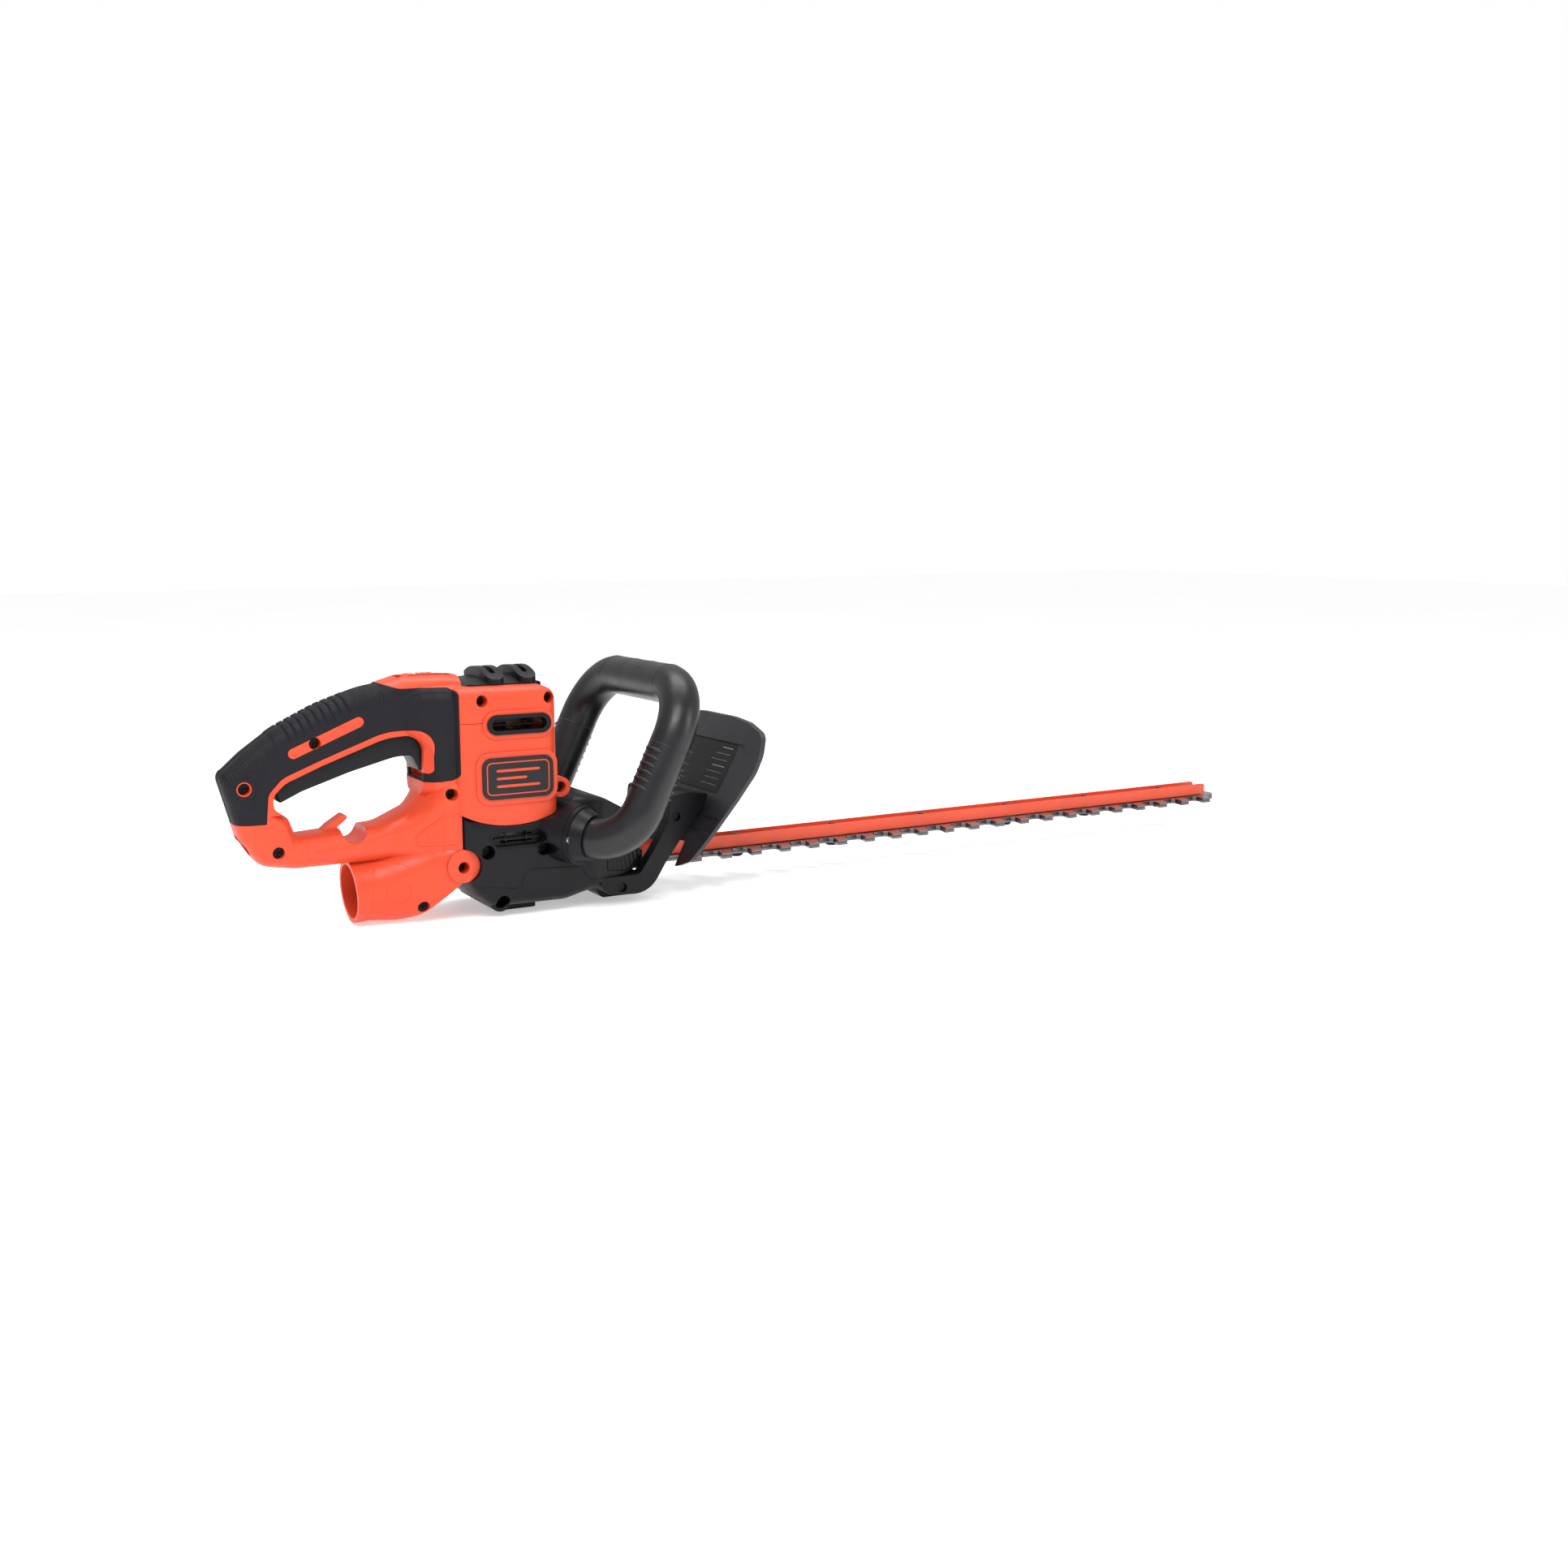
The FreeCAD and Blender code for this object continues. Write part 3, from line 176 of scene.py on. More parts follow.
def metal(name, colour, roughness, stretch=(1, 1, 1), scale=600, depth=0.000004, edge=0.0003, tint=0.12,
          upright_shade=None):
    """Bare metal: grain along one direction, faint stains, and upright faces painted in a tone of their own
    as shade.
    """
    paint = Paint(name, roughness, 1.0)
    grain = paint.noise(scale, 3, paint.stretched(*stretch), 0.6)
    stain = paint.noise(60, 4)
    dark = tuple(c * (1 - tint) for c in colour[:3]) + (1.0,)
    base = paint.blend(paint.spread(stain, 0, 1), dark, colour)
    # Painted shade: faces that stand upright are blended towards the tone given for them.
    if upright_shade is not None:
        facing = paint.add("ShaderNodeNewGeometry").outputs["True Normal"]
        upright = paint.math("ABSOLUTE", paint.add("ShaderNodeSeparateXYZ", {"Vector": facing}).outputs["Z"])
        base = paint.blend(paint.spread(upright, 0, 1, 0.4, 0.8), upright_shade, base)
    cloud = paint.spread(stain, roughness - 0.04, roughness + 0.05)
    gloss = paint.math("ADD", paint.spread(grain, -0.06, 0.06), cloud)
    normal = paint.bump(grain, depth, paint.edge(edge))
    return paint.set(Base_Color=base, Roughness=gloss, Normal=normal)


def painted(name, colour, roughness):
    """Powder coat: slight orange peel, chipped a little darker where it is thin."""
    paint = Paint(name, roughness)
    peel = paint.noise(900, 2)
    cloud = paint.noise(20, 3)
    dark = tuple(c * 0.88 for c in colour[:3]) + (1.0,)
    base = paint.blend(paint.spread(cloud, 0, 1), dark, colour)
    gloss = paint.spread(paint.noise(110, 3), roughness - 0.05, roughness + 0.08)
    normal = paint.bump(peel, 0.00003, paint.edge(0.0004))
    return paint.set(Base_Color=base, Roughness=gloss, Normal=normal)


def wound(name, colour, pitch, roughness=0.35):
    """Enamelled wire: fine turns side by side, the gaps between turns painted darker as shade."""
    paint = Paint(name, roughness, 1.0)
    height = paint.add("ShaderNodeSeparateXYZ", {"Vector": paint.coords}).outputs["X"]
    turns = paint.math("SINE", paint.math("MULTIPLY", height, 2 * math.pi / pitch))
    shade = paint.spread(turns, 0, 1, -1, 1)
    # Painted shade between the turns: the colour falls to a dark copy where the sine of the turns is low.
    low = tuple(c * 0.35 for c in colour[:3]) + (1.0,)
    gloss = paint.spread(paint.noise(300, 2), roughness - 0.05, roughness + 0.1)
    base = paint.blend(shade, low, colour)
    return paint.set(Base_Color=base, Roughness=gloss, Normal=paint.bump(turns, 0.0002))


ORANGE = rgb(212, 68, 34)
RUBBER = rgb(20, 19, 26)
BLACK = rgb(13, 13, 17)

MATERIALS = {
    "orange_shell": moulded("orange_moulding", ORANGE, 0.42, 0.000012, specular=0.42, tint=0.03),
    "grip_rubber": moulded("soft_rubber", RUBBER, 0.60, 0.00003, 0.0005, specular=0.22, tint=0.1),
    "black_plastic": moulded("black_moulding", BLACK, 0.42, 0.00003, 0.0007, specular=0.22, tint=0.1),
    "handle_plastic": moulded("handle_moulding", rgb(15, 15, 19), 0.36, 0.000018, 0.0008, specular=0.45,
                              tint=0.1),
    "guard_plastic": moulded("guard_moulding", rgb(36, 35, 39), 0.42, 0.00002, 0.0008, specular=0.45,
                             tint=0.08),
    "badge": moulded("badge_plastic", rgb(22, 21, 26), 0.5, 0.00001, specular=0.35, tint=0.05),
    # Ground blade steel whose upright tooth faces are painted darker as shade.
    "blade_steel": metal("ground_steel", rgb(176, 172, 172), 0.30, (0.15, 1, 1), 2500,
                         upright_shade=rgb(104, 100, 103)),
    "channel_paint": painted("channel_coat", rgb(219, 73, 38), 0.38),
    # Dark steel, made darker still so sunk screw heads read as dark holes: partly the bolts' own dark
    # finish, partly painted shade of the holes.
    "fastener_steel": metal("dark_steel_and_hole_shade", rgb(40, 38, 39), 0.38),
    "plated_steel": metal("plated_steel", rgb(190, 190, 192), 0.25),
    "brass": metal("brass", rgb(225, 186, 110), 0.28),
    "copper": wound("enamelled_copper", rgb(205, 120, 75), 0.0009),
    "iron_core": metal("laminated_iron", rgb(120, 118, 116), 0.45, (0.05, 0.05, 3), 900),
    "insulator": moulded("insulator", rgb(120, 20, 12), 0.45, 0.00001),
    "nylon": moulded("nylon", rgb(232, 228, 214), 0.4, 0.00001),
    "carbon": moulded("carbon", rgb(44, 43, 43), 0.62, 0.00002),
    "frame_alloy": metal("cast_alloy", rgb(178, 178, 180), 0.42),
    "gear_steel": metal("gear_steel", rgb(160, 160, 162), 0.3),
}
KNURL = knurled("knurled_rubber", RUBBER, 0.58)
LABEL = moulded("label_film", rgb(18, 18, 20), 0.5, 0.000006, specular=0.35, tint=0.04)
PRINT = moulded("label_print", rgb(165, 165, 168), 0.5, 0.000006, specular=0.3, tint=0.04)


def dress_frame():
    """Gives every CAD node the material of its slot and smooth shading between its sharp edges."""
    slots = {part["node"]: part["material_slot"] for part in frame["record"]["subparts"]}
    smooth = smoothing_group()
    for name, obj in frame["nodes"].items():
        obj.data.materials.clear()
        obj.data.materials.append(MATERIALS[slots[name]])
        normals = obj.data.attributes.get("custom_normal")
        if normals is not None:
            obj.data.attributes.remove(normals)
        weld = obj.modifiers.new("weld", "WELD")
        weld.merge_threshold = 0.01 * MM
        obj.modifiers.new("smooth", "NODES").node_group = smooth


# ---------------------------------------------------------------- shape helpers

def new_piece(name, vertices, faces, material, body="housing", smooth=True):
    """Mesh object that rides on a body, from points in metres."""
    mesh = bpy.data.meshes.new(name)
    mesh.from_pydata([tuple(v) for v in vertices], [], [tuple(f) for f in faces])
    mesh.materials.append(material)
    if smooth:
        mesh.shade_smooth()
    obj = bpy.data.objects.new(name, mesh)
    bpy.context.scene.collection.objects.link(obj)
    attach(obj, body)
    return obj


def smoothing_group():
    """Geometry nodes that shade faces smooth and keep edges over 32 degrees sharp."""
    group = bpy.data.node_groups.new("smooth_by_angle", "GeometryNodeTree")
    for way in ("INPUT", "OUTPUT"):
        group.interface.new_socket("Geometry", in_out=way, socket_type="NodeSocketGeometry")
    source = group.nodes.new("NodeGroupInput")
    result = group.nodes.new("NodeGroupOutput")
    faces = group.nodes.new("GeometryNodeSetShadeSmooth")
    sharp = group.nodes.new("GeometryNodeSetShadeSmooth")
    sharp.domain = "EDGE"
    sharp.inputs[2].default_value = False
    angle = group.nodes.new("GeometryNodeInputMeshEdgeAngle")
    compare = group.nodes.new("FunctionNodeCompare")
    compare.operation = "GREATER_THAN"
    compare.inputs[1].default_value = math.radians(32)
    group.links.new(angle.outputs[0], compare.inputs[0])
    group.links.new(compare.outputs[0], sharp.inputs[1])
    group.links.new(source.outputs[0], faces.inputs[0])
    group.links.new(faces.outputs[0], sharp.inputs[0])
    group.links.new(sharp.outputs[0], result.inputs[0])
    return group


def rounded(corners, step):
    """Closed outline of corners (u, v, radius) as evenly spaced points, its corners as arcs."""
    path = []
    for i, (u, v, radius) in enumerate(corners):
        corner = np.array((u, v), float)
        before = np.array(corners[i - 1][:2]) - corner
        after = np.array(corners[(i + 1) % len(corners)][:2]) - corner
        room = 0.48 * min(np.linalg.norm(before), np.linalg.norm(after))
        before /= np.linalg.norm(before)
        after /= np.linalg.norm(after)
        half = 0.5 * math.acos(max(-1.0, min(1.0, float(before @ after))))
        reach = min(radius / math.tan(half), room)
        control = corner
        start = corner + before * reach
        end = corner + after * reach
        for t in np.linspace(0, 1, 9):
            path.append((1 - t) ** 2 * start + 2 * t * (1 - t) * control + t * t * end)
    return resampled(np.array(path + path[:1]), step)[:-1]


def resampled(path, step):
    """Open path of evenly spaced points."""
    gaps = np.linalg.norm(np.diff(path, axis=0), axis=1)
    along = np.concatenate(([0.0], np.cumsum(gaps)))
    count = max(2, round(along[-1] / step) + 1)
    at = np.linspace(0, along[-1], count)
    return np.stack([np.interp(at, along, path[:, k]) for k in range(path.shape[1])], axis=1)


def away(points, path, closed=True):
    """Distance of each point from a path."""
    ends = np.roll(path, -1, axis=0) if closed else path[1:]
    starts = path if closed else path[:-1]
    run = ends - starts
    offset = points[:, None, :] - starts[None]
    share = np.clip((offset * run).sum(2) / np.maximum((run * run).sum(1), 1e-12), 0, 1)
    return np.linalg.norm(offset - share[..., None] * run, axis=2).min(1)


def within(points, outline):
    """Whether each point is inside an outline."""
    inside = np.zeros(len(points), bool)
    for a, b in zip(outline, np.roll(outline, -1, axis=0)):
        crosses = (a[1] > points[:, 1]) != (b[1] > points[:, 1])
        slope = (b[0] - a[0]) / (b[1] - a[1] if abs(b[1] - a[1]) > 1e-12 else 1e-12)
        inside ^= crosses & (points[:, 0] < a[0] + slope * (points[:, 1] - a[1]))
    return inside


def ease(value, low, high):
    """Smooth step from 0 at low to 1 at high."""
    share = np.clip((value - low) / (high - low), 0, 1)
    return share * share * (3 - 2 * share)


class Skin:
    """Surface of CAD nodes, found by looking at it from outside."""

    def __init__(self, *nodes):
        points, faces = [], []
        for name in nodes:
            mesh = frame["nodes"][name].data
            start = len(points)
            points += [v.co.copy() for v in mesh.vertices]
            faces += [[start + i for i in p.vertices] for p in mesh.polygons]
        self.tree = BVHTree.FromPolygons(points, faces)

    def find(self, aim, u, v):
        """Point and outward normal where the look of aim at (u, v), in millimetres, meets the surface."""
        origin, look = aim(u * MM, v * MM)
        place, normal, _, _ = self.tree.ray_cast(origin, look)
        if place is None:
            return None, None
        if normal.dot(look) > 0:
            normal.negate()
        return place, normal


def from_side(side):
    """Looks at the object from one side: u runs along X, v along Z."""
    return lambda u, v: (Vector((u, side * 0.3, v)), Vector((0, -side, 0)))


def from_rear(u, v):
    """Looks forward: u runs along Y, v along Z."""
    return Vector((0.02, u, v)), Vector((1, 0, 0))


def from_top(u, v):
    """Looks down: u runs along X, v along Y."""
    return Vector((u, v, 0.4)), Vector((0, 0, -1))


def softened(values, links, rounds):
    """Values averaged with their neighbours a few times."""
    first, second = links.T
    count = np.zeros(len(values))
    np.add.at(count, first, 1)
    np.add.at(count, second, 1)
    for _ in range(rounds):
        total = np.zeros_like(values)
        np.add.at(total, first, values[second])
        np.add.at(total, second, values[first])
        values = 0.5 * values + 0.5 * total / np.maximum(count, 1)[:, None]
    return values


def relief(name, skin, aim, corners, height, rim, material, step=1.0, pattern=None, body="housing"):
    """Raised patch that follows a surface: its rim is rounded over, and a pattern may add to its height."""
    outline = rounded(corners, step * 0.8)
    inner = []
    turn = np.roll(outline, -1, axis=0) - np.roll(outline, 1, axis=0)
    area = (outline[:, 0] * np.roll(outline[:, 1], -1) - np.roll(outline[:, 0], -1) * outline[:, 1]).sum()
    inward = np.stack([-turn[:, 1], turn[:, 0]], axis=1) * (1 if area > 0 else -1)
    inward /= np.linalg.norm(inward, axis=1)[:, None]
    for share in (0.3, 1.0):
        inner.append(outline + inward * rim * share)
    low, high = outline.min(0), outline.max(0)
    columns, rows = np.arange(low[0], high[0], step), np.arange(low[1], high[1], step)
    grid = np.stack(np.meshgrid(columns, rows), -1).reshape(-1, 2)
    grid = grid[within(grid, outline)]
    grid = grid[away(grid, outline) > rim + step * 0.5]
    points = np.concatenate([outline] + inner + [grid])
    loop = [list(range(len(outline)))]
    flat, _, faces, _, _, _ = delaunay_2d_cdt([Vector(p) for p in points], [], loop, 1, 1e-4)
    flat = np.array([tuple(p) for p in flat])
    depth = away(flat, outline)
    rise = height * np.sqrt(np.maximum(0, 1 - (1 - np.clip(depth / rim, 0, 1)) ** 2))
    if pattern is not None:
        rise = rise + pattern(flat) * ease(depth, rim * 0.5, rim * 1.5)
    found = [skin.find(aim, u, v)[0] for u, v in flat]
    look = aim(0, 0)[1]
    vertices = [(p or Vector()) - look * (r * MM) for p, r in zip(found, rise)]
    faces = [f for f in faces if all(found[i] is not None for i in f)]
    obj = new_piece(name, vertices, faces, material, body)
    back = obj.modifiers.new("back", "SOLIDIFY")
    back.thickness = (height + 0.5) * MM
    back.offset = -1
    trim(obj, look)
    return obj


def trim(obj, look):
    """Turns faces outwards against the look and drops loose points."""
    cut = bmesh.new()
    cut.from_mesh(obj.data)
    bmesh.ops.delete(cut, geom=[v for v in cut.verts if not v.link_faces], context="VERTS")
    for face in cut.faces:
        face.normal_update()
        if face.normal.dot(look) > 0:
            face.normal_flip()
    cut.to_mesh(obj.data)
    cut.free()


BEAD_SINK = 0.15 * MM
RING_STEP = 5.0


def bead_mesh(places, normals, width, height, closed):
    """Points and faces of a low rounded ridge along places on a surface."""
    count = len(places)
    profile = [(math.cos(a), math.sin(a)) for a in np.linspace(0, math.pi, 7)]
    vertices = []
    for i, (place, normal) in enumerate(zip(places, normals)):
        after = places[(i + 1) % count] if closed or i + 1 < count else place
        before = places[i - 1] if closed or i > 0 else place
        across = (after - before).normalized().cross(normal).normalized()
        taper = 1.0 if closed else math.sin(0.5 * math.pi * min(1.0, (min(i, count - 1 - i) + 0.35) / 2.5))
        for c, s in profile:
            lift = height * taper * s - BEAD_SINK
            vertices.append(place + across * (0.5 * width * taper * c) + normal * lift)
    rows = len(profile)
    faces = []
    for i in range(count if closed else count - 1):
        j = (i + 1) % count
        for k in range(rows):
            m = (k + 1) % rows
            faces.append((i * rows + k, i * rows + m, j * rows + m, j * rows + k))
    if not closed:
        faces.append(tuple(range(rows)))
        faces.append(tuple(reversed(range((count - 1) * rows, count * rows))))
    return vertices, faces


def bead(name, skin, aim, path, width, height, material, closed=False, step=0.9):
    """Low ridge along a path of (u, v) on a surface, in millimetres."""
    line = rounded(path, step) if closed else resampled(np.array(path, float), step)
    found = [skin.find(aim, u, v) for u, v in line]
    found = [pair for pair in found if pair[0] is not None]
    places = [place for place, _ in found]
    normals = [normal for _, normal in found]
    vertices, faces = bead_mesh(places, normals, width * MM, height * MM, closed)
    return new_piece(name, vertices, faces, material)


def ring(name, centre, axis, radius, width, height, material, turn=(0, 360)):
    """Low ridge round a bar, over a turn in degrees measured from the tool's rear."""
    axis = axis.normalized()
    rear = (Vector((-1, 0, 0)) - axis * axis.dot(Vector((-1, 0, 0)))).normalized()
    side = axis.cross(rear)
    closed = turn[1] - turn[0] >= 360
    angles = np.arange(turn[0], turn[1] + (0 if closed else 0.01), RING_STEP)
    normals = [rear * math.cos(math.radians(a)) + side * math.sin(math.radians(a)) for a in angles]
    places = [centre + n * radius for n in normals]
    vertices, faces = bead_mesh(places, normals, width * MM, height * MM, closed)
    return new_piece(name, vertices, faces, material)


# ---------------------------------------------------------------- grip overmoulding

GROOVE_WAY = Vector((0.4, -0.92)).normalized()
GROOVE_FIRST, GROOVE_PITCH, GROOVES = (-166.0, 147.0), 5.65, 9
PILL_AXIS = Vector((46, 19)).normalized()
PILL_START = (-160.0, 128.0)
GROOVE_DEPTH, KNURL_DEPTH = 1.15, 0.35
VOXEL = 0.62
FRONT_KNURL = [(-127, 190, 1), (-116, 152.5, 3), (-102, 154.5, 8), (-89, 156.5, 8), (-79, 156.5, 4),
               (-72, 160.5, 3), (-71, 165, 2), (-80, 190, 1)]
REAR_KNURL = [(-206, 118, 3), (-200, 105, 8), (-193, 91, 3), (-187, 92, 3), (-184, 106, 20), (-177, 119, 8),
              (-168, 129, 3), (-176, 146, 3)]
PANEL_LINE = [(-78, 163.6), (-71, 165.4), (-62, 165.9), (-54.5, 165.8), (-52, 165), (-51, 162.5),
              (-50.9, 157), (-50.9, 138), (-51.2, 112), (-52.4, 108), (-55.5, 105.6)]
KNURL_END = [(-88, 156.2), (-79, 156.2), (-74, 158.4), (-71, 161.6)]


def groove_depth(points):
    """How deep the cross grooves are at each (x, z), from 0 to 1."""
    across = np.array((-GROOVE_WAY.y, GROOVE_WAY.x))
    place = (points - np.array(GROOVE_FIRST)) @ across / GROOVE_PITCH
    nearest = np.round(place)
    gap = np.abs(place - nearest) * GROOVE_PITCH
    upward = np.array((-PILL_AXIS.y, PILL_AXIS.x))
    above = (points - np.array(PILL_START)) @ upward
    mask = (nearest >= 0) & (nearest < GROOVES)
    return mask * (1 - ease(gap, 0.35, 1.05)) * ease(above, 6.2, 8.0)


def knurl_share(points):
    """How far each (x, z) is inside a knurled field, from 0 to 1."""
    share = np.zeros(len(points))
    for corners in (FRONT_KNURL, REAR_KNURL):
        field = rounded(corners, 1.0)
        share = np.maximum(share, within(points, field) * ease(away(points, field), 0.1, 0.9))
    return share


def voxel_copy(node, name):
    """New object with the node's shape as a fine even mesh."""
    obj = bpy.data.objects.new(name, node.data.copy())
    bpy.context.scene.collection.objects.link(obj)
    remesh = obj.modifiers.new("remesh", "REMESH")
    remesh.mode = "VOXEL"
    remesh.voxel_size = VOXEL * MM
    bpy.context.view_layer.update()
    even = bpy.data.meshes.new_from_object(obj.evaluated_get(bpy.context.evaluated_depsgraph_get()))
    obj.modifiers.clear()
    obj.data = even
    return obj


def vertex_rows(mesh, key):
    """One row of three numbers for each vertex."""
    values = np.zeros(len(mesh.vertices) * 3)
    mesh.vertices.foreach_get(key, values)
    return values.reshape(-1, 3)


def move_vertices(mesh, places):
    mesh.vertices.foreach_set("co", places.ravel())
    mesh.update()


def overmould(side, word):
    """Rubber grip side: fine mesh over the CAD skin with cross grooves and sunk knurled fields."""
    rubber = MATERIALS["grip_rubber"]
    obj = voxel_copy(frame["nodes"][word + "_grip_overmould"], word + "_grip_rubber")
    shaped = obj.data
    links = np.zeros(len(shaped.edges) * 2, int)
    shaped.edges.foreach_get("vertices", links)
    links = links.reshape(-1, 2)
    places = vertex_rows(shaped, "co")
    core = Skin(word + "_housing").tree
    gap = np.array([core.find_nearest(Vector(p))[3] for p in places]) / MM
    outside = ease(gap, 1.25, 1.8)
    places = places + (softened(places, links, 24) - places) * outside[:, None]
    move_vertices(shaped, places)
    normals = softened(vertex_rows(shaped, "normal"), links, 6)
    flat = places[:, (0, 2)] / MM
    sunk = knurl_share(flat)
    depth = outside * (GROOVE_DEPTH * groove_depth(flat) + KNURL_DEPTH * sunk)
    move_vertices(shaped, places - normals * (depth * MM)[:, None])
    shaped.materials.clear()
    shaped.materials.append(rubber)
    shaped.materials.append(KNURL)
    knurled_at = sunk * outside > 0.75
    for polygon in shaped.polygons:
        polygon.material_index = int(all(knurled_at[i] for i in polygon.vertices))
    shaped.shade_smooth()
    shaped.update()
    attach(obj, "housing")
    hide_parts(word + "_grip_overmould")
    skin = Skin(word + "_grip_overmould")
    for tag, path in (("panel", PANEL_LINE), ("knurl", KNURL_END)):
        name = "%s_%s_line" % (word, tag)
        bead(name, skin, from_side(side), path, 0.8, 0.35, rubber)


# ---------------------------------------------------------------- surface details

TAIL_PANEL = [(-77, 57, 3), (-77, 63.5, 4), (-57.5, 79, 5), (-50.5, 79, 3), (-49, 58, 3)]
GEAR_LINE = [(-44, 27), (-30, 24), (-10, 21), (-6.5, 22.5), (-2.5, 32.5), (1, 34.2), (20, 33.5), (39, 32.2),
             (42, 31), (47, 22.5), (50, 21), (60, 21), (68, 22.6)]
RIB_FIELD = [(63.5, 26, 2), (82, 23, 3), (97, 34.5, 3), (95, 39, 3), (64, 38, 2)]
RIB_PITCH, RIB_HEIGHT, RIB_LEAN = 3.9, 0.55, 0.2
VENT_RIM = [(-29, 51.3, 7), (13, 51.3, 7), (13, 65.7, 7), (-29, 65.7, 7)]
BADGE_FRAME = [(-30.5, 91.5, 4), (16.5, 91.5, 4), (16.5, 114.5, 4), (-30.5, 114.5, 4)]
BADGE_BARS = ((-24, 10, 108.6), (-24, 0, 103), (-24, 10, 97.4))
RING_MARK, RING_MARK_RADIUS = (-92.5, 24.5), 8.6
LOCK_MARK = [(-71, -2.5, 0.8), (-67, -2.5, 0.8), (-67, 2.5, 0.8), (-71, 2.5, 0.8)]
LABEL_PATCH = [(-45, 78, 2), (45, 78, 2), (50, 115, 3), (-50, 115, 3)]
LABEL_BARS = ((20, 2.2), (26, 0.9), (30, 0.9), (24, 2.2), (30, 0.9), (27, 0.9), (29, 0.9))
LABEL_TOP, LABEL_PITCH, LABEL_EDGE, LABEL_DRIFT = 111, 4.6, 44, 0.8

# Open lines on the housing: name, path, width, height
HOUSING_LINES = (
    ("arm_crease", [(-150, 57), (-120, 60.5), (-96, 66), (-82, 71)], 1.2, 0.3),
    ("arm_seam", [(-155, 70), (-153.5, 62), (-151, 51)], 0.8, 0.3),
    ("shroud_top", [(-117, 44.5), (-100, 45.5), (-88, 44), (-80, 39)], 1.0, 0.35),
    ("shroud_seam", [(-112, 6), (-111, 16), (-109.5, 30), (-108.5, 39), (-106, 43)], 0.8, 0.25),
)


def ring_mark():
    """Corners of the round mark on the shroud."""
    u, v = RING_MARK
    turns = np.linspace(0, 2 * math.pi, 17)[:-1]
    return [(u + RING_MARK_RADIUS * math.cos(a), v + RING_MARK_RADIUS * math.sin(a), 2) for a in turns]


def housing_details(side, word):
    """Embossed tail panel, arm crease, shroud seam and ring mark, and the badge's outline and bars."""
    skin = Skin(word + "_housing")
    aim = from_side(side)
    orange = MATERIALS["orange_shell"]
    bead(word + "_tail_panel", skin, aim, TAIL_PANEL, 2.2, 0.7, orange, closed=True)
    for name, path, width, height in HOUSING_LINES:
        bead(word + "_" + name, skin, aim, path, width, height, orange)
    bead(word + "_ring_mark", skin, aim, ring_mark(), 0.8, 0.25, orange, closed=True)
    plate = Skin(word + "_badge_plate")
    bead(word + "_badge_frame", plate, aim, BADGE_FRAME, 1.1, 0.35, orange, closed=True)
    for k, (x0, x1, z) in enumerate(BADGE_BARS):
        bead("%s_badge_bar_%d" % (word, k), plate, aim, [(x0, z), (x1, z)], 2.2, 0.4, orange)


def finger_ribs(flat):
    """Height of the upright ribs at each (x, z)."""
    phase = 2 * math.pi * (flat[:, 0] + RIB_LEAN * flat[:, 1]) / RIB_PITCH
    return RIB_HEIGHT * ease(np.cos(phase), 0.1, 0.8)


def gearcase_details(side, word):
    """Stepped line along the gearcase, its ribbed finger field and the rim round its vent."""
    skin = Skin(word + "_gearcase")
    aim = from_side(side)
    black = MATERIALS["black_plastic"]
    bead(word + "_gear_line", skin, aim, GEAR_LINE, 1.3, 0.55, black)
    bead(word + "_vent_rim", skin, aim, VENT_RIM, 1.6, 0.7, black, closed=True)
    relief(word + "_rib_field", skin, aim, RIB_FIELD, 0.5, 0.8, black, step=0.55,
           pattern=finger_ribs)


def lock_details():
    """Pale mark on the lock slider."""
    relief("lock_mark", Skin("lock_button"), from_top, LOCK_MARK, 0.12, 0.2, MATERIALS["nylon"],
           step=0.5, body="lock_button")


def guard_details():
    """Label on the guard's rear face, with plain bars in place of text."""
    skin = Skin("guard_plate")
    relief("guard_label", skin, from_rear, LABEL_PATCH, 0.2, 0.3, LABEL, step=2.0)
    for side, word in ((-1, "right"), (1, "left")):
        for k, (length, width) in enumerate(LABEL_BARS):
            z = LABEL_TOP - LABEL_PITCH * k
            edge = LABEL_EDGE - LABEL_DRIFT * k
            line = [(side * (edge - length), z), (side * (edge + 3), z)]
            bead("%s_label_bar_%d" % (word, k), skin, from_rear, line, width, 0.35, PRINT, step=2.0)


# Bail handle's left leg, grip bar and radius
BAIL_LEG_LOW = Vector((60, 83, 53)) * MM
BAIL_LEG_HIGH = Vector((113, 84, 164.5)) * MM
BAIL_RADIUS = 15
GRIP_X, GRIP_Z, GRIP_SEAM_Y = 0.113, 0.1645, 0.047
LEG_SEAM_AT = 0.62
RIDGES, RIDGE_FIRST, RIDGE_PITCH = 6, 0.34, 0.047
RIDGE_TURNS = ((-20, 50, "rear"), (130, 200, "front"))
GRIP_PATCH = [(-14, 8, 2), (14, 8, 2), (14, 38, 2), (-14, 38, 2)]
GRIP_PATCH_TURN = 0.2


def leg_details(side, word):
    """Seams and finger ridges of one side of the bail handle."""
    black = MATERIALS["handle_plastic"]
    rise = BAIL_LEG_HIGH - BAIL_LEG_LOW
    radius = BAIL_RADIUS * MM
    flip = Vector((1, side, 1))
    axis = rise * flip
    seam = (BAIL_LEG_LOW + rise * LEG_SEAM_AT) * flip
    ring(word + "_leg_seam", seam, axis, radius, 0.9, 0.35, black)
    for k in range(RIDGES):
        centre = (BAIL_LEG_LOW + rise * (RIDGE_FIRST + RIDGE_PITCH * k)) * flip
        for start, end, tag in RIDGE_TURNS:
            turn = (start, end) if side < 0 else (-end, -start)
            name = "%s_leg_%s_ridge_%d" % (word, tag, k)
            ring(name, centre, axis, radius, 3.2, 1.3, black, turn=turn)
    seam = Vector((GRIP_X, side * GRIP_SEAM_Y, GRIP_Z))
    ring(word + "_grip_seam", seam, Vector((0, 1, 0)), radius, 0.9, 0.35, black)


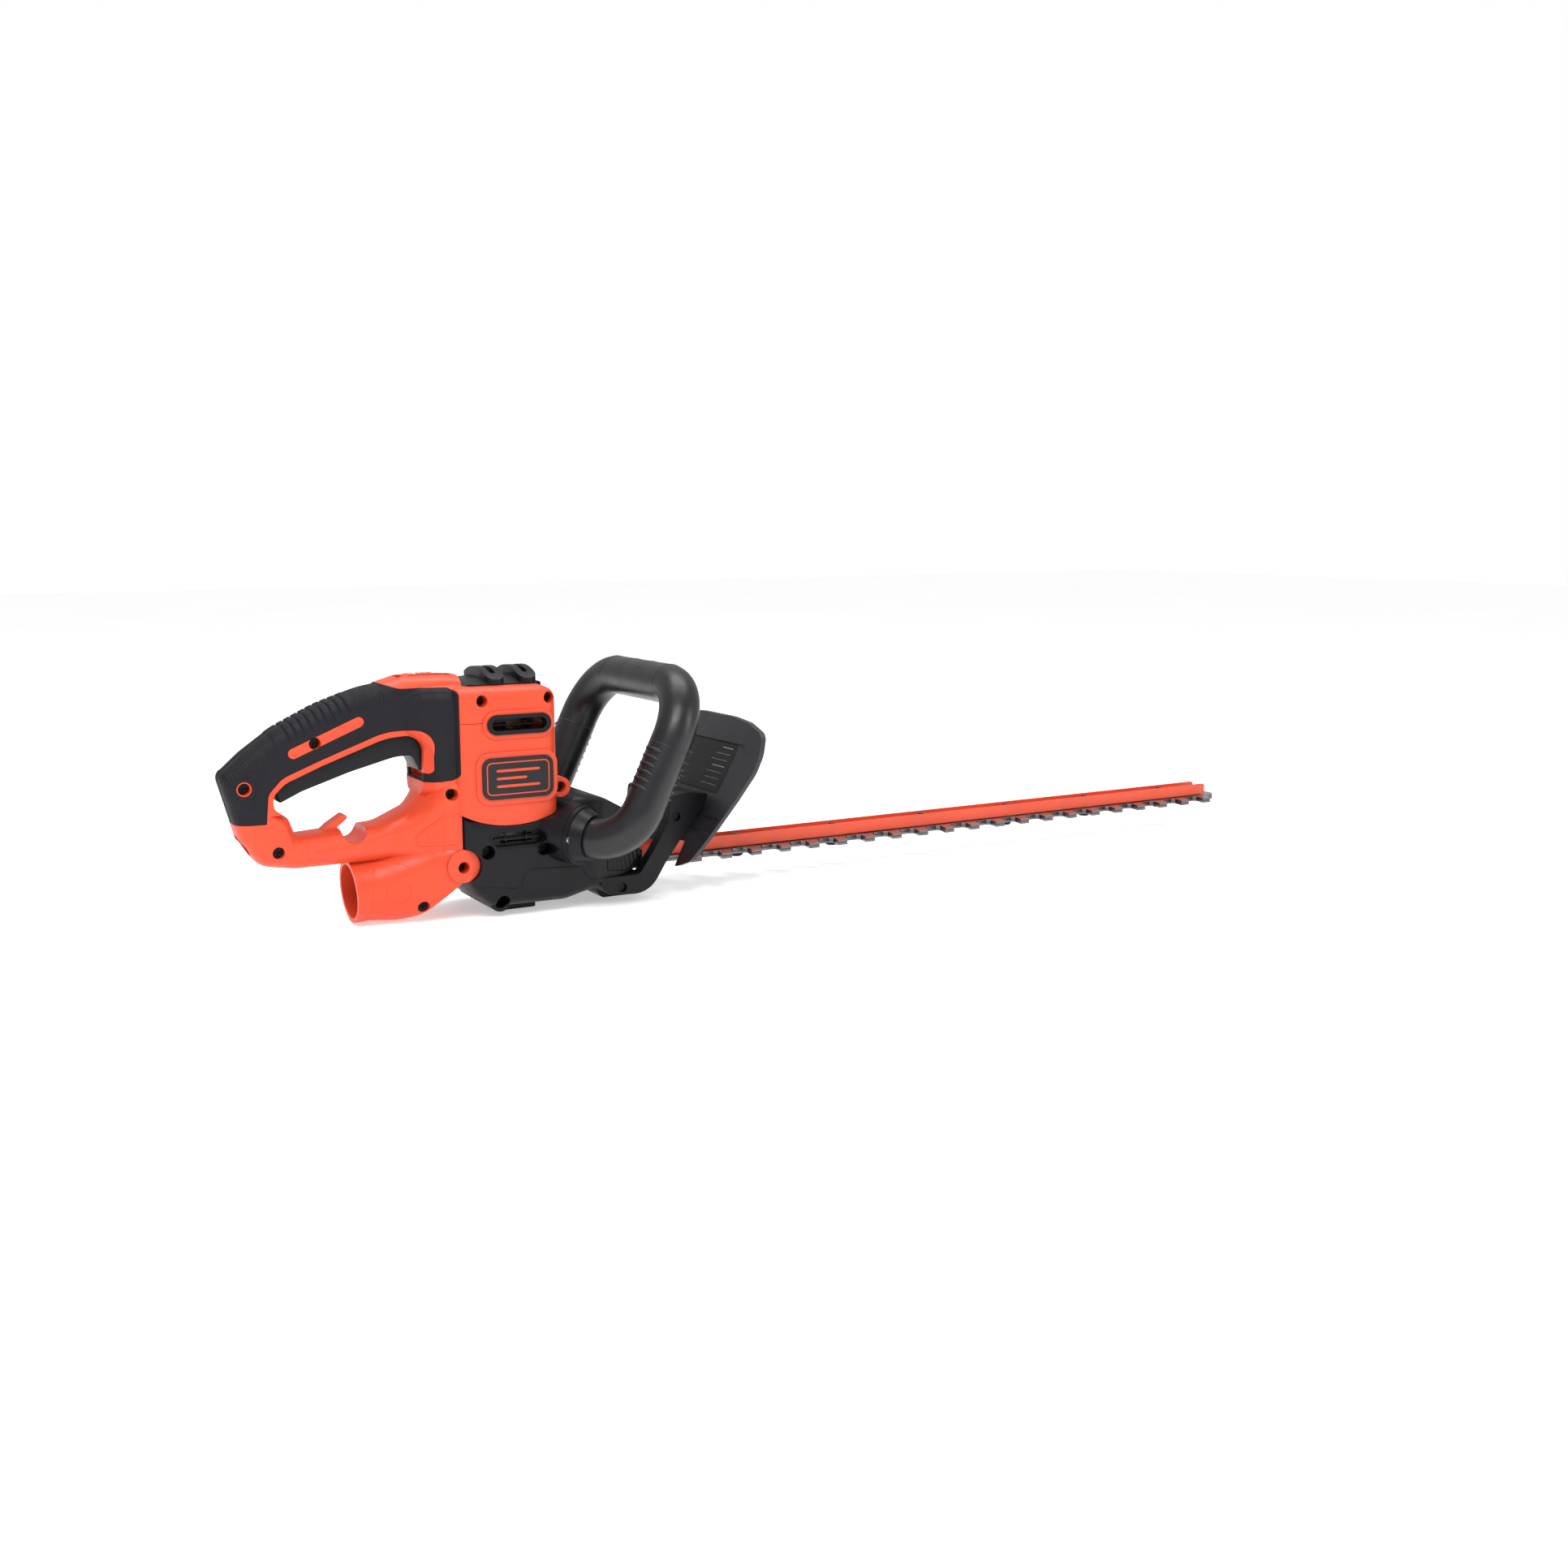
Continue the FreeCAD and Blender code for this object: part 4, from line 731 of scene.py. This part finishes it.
def grip_patch():
    """Plain rounded rectangle on top of the bail handle's grip bar."""
    places, normals = [], []
    for y, lift in rounded(GRIP_PATCH, 1.2):
        turn = lift / BAIL_RADIUS + GRIP_PATCH_TURN
        normal = Vector((-math.cos(turn), 0, math.sin(turn)))
        places.append(Vector((GRIP_X, y * MM, GRIP_Z)) + normal * (BAIL_RADIUS * MM))
        normals.append(normal)
    vertices, faces = bead_mesh(places, normals, 1.0 * MM, 0.4 * MM, True)
    new_piece("grip_patch", vertices, faces, MATERIALS["handle_plastic"])


# ---------------------------------------------------------------- stage

CAMERA_PLACE = (-0.44913, -1.17169, 0.28647)
CAMERA_HEADING, CAMERA_PITCH, CAMERA_ROLL = 30.43, 8.95, -0.10
CAMERA_LENS = 38.70


def camera():
    """Camera at the photograph's angle."""
    data = bpy.data.cameras.new("camera")
    data.lens = CAMERA_LENS
    data.sensor_width = 36.0
    data.clip_start, data.clip_end = 0.05, 50.0
    obj = bpy.data.objects.new("camera", data)
    bpy.context.scene.collection.objects.link(obj)
    heading, pitch, roll = (math.radians(a) for a in (CAMERA_HEADING, CAMERA_PITCH, CAMERA_ROLL))
    level = math.cos(pitch)
    look = Vector((math.sin(heading) * level, math.cos(heading) * level, -math.sin(pitch)))
    turn = look.to_track_quat("-Z", "Y").to_matrix() @ Matrix.Rotation(roll, 3, "Z")
    obj.matrix_world = Matrix.Translation(CAMERA_PLACE) @ turn.to_4x4()
    bpy.context.scene.camera = obj


def area_light(name, place, target, size, power):
    """Rectangular lamp that faces a target, in watts."""
    data = bpy.data.lights.new(name, "AREA")
    data.shape = "RECTANGLE"
    data.size, data.size_y = size
    data.energy = power
    obj = bpy.data.objects.new(name, data)
    bpy.context.scene.collection.objects.link(obj)
    obj.location = place
    obj.rotation_euler = (Vector(target) - Vector(place)).to_track_quat("-Z", "Y").to_euler()


def lights():
    """Soft studio light: a broad key overhead, fills at both sides and a white surround."""
    world = bpy.data.worlds.new("studio")
    world.use_nodes = True
    background = world.node_tree.nodes["Background"]
    background.inputs["Color"].default_value = (1.0, 1.0, 1.0, 1.0)
    seen = world.node_tree.nodes.new("ShaderNodeLightPath")
    strength = world.node_tree.nodes.new("ShaderNodeMapRange")
    strength.inputs["To Min"].default_value = 0.6
    strength.inputs["To Max"].default_value = 1.0
    world.node_tree.links.new(seen.outputs["Is Camera Ray"], strength.inputs["Value"])
    world.node_tree.links.new(strength.outputs["Result"], background.inputs["Strength"])
    bpy.context.scene.world = world
    middle = (0.1, 0.0, 0.08)
    area_light("key", (-0.5, -0.9, 1.3), middle, (0.9, 0.6), 17)
    area_light("overhead", (0.3, 0.3, 1.6), middle, (1.4, 0.6), 15)
    area_light("right_fill", (1.3, -1.2, 0.6), middle, (0.6, 0.9), 7)


def floor():
    """Plain pale floor."""
    mesh = bpy.data.meshes.new("floor")
    mesh.from_pydata([(-6, -6, 0), (6, -6, 0), (6, 6, 0), (-6, 6, 0)], [], [(0, 1, 2, 3)])
    obj = bpy.data.objects.new("floor", mesh)
    bpy.context.scene.collection.objects.link(obj)
    paint = Paint("floor_paint", 0.6)
    tone = paint.blend(paint.spread(paint.noise(3, 2), 0, 1), rgb(243, 243, 244), rgb(247, 247, 247))
    white = (1.0, 1.0, 1.0, 1.0)
    mesh.materials.append(paint.set(Base_Color=tone, Emission_Color=white, Emission_Strength=0.42))


camera()
lights()
floor()
dress_frame()
for SIDE, WORD in ((-1, "right"), (1, "left")):
    overmould(SIDE, WORD)
    housing_details(SIDE, WORD)
    gearcase_details(SIDE, WORD)
lock_details()
guard_details()
for SIDE, WORD in ((-1, "right"), (1, "left")):
    leg_details(SIDE, WORD)
grip_patch()
bpy.context.scene.view_settings.view_transform = "Standard"
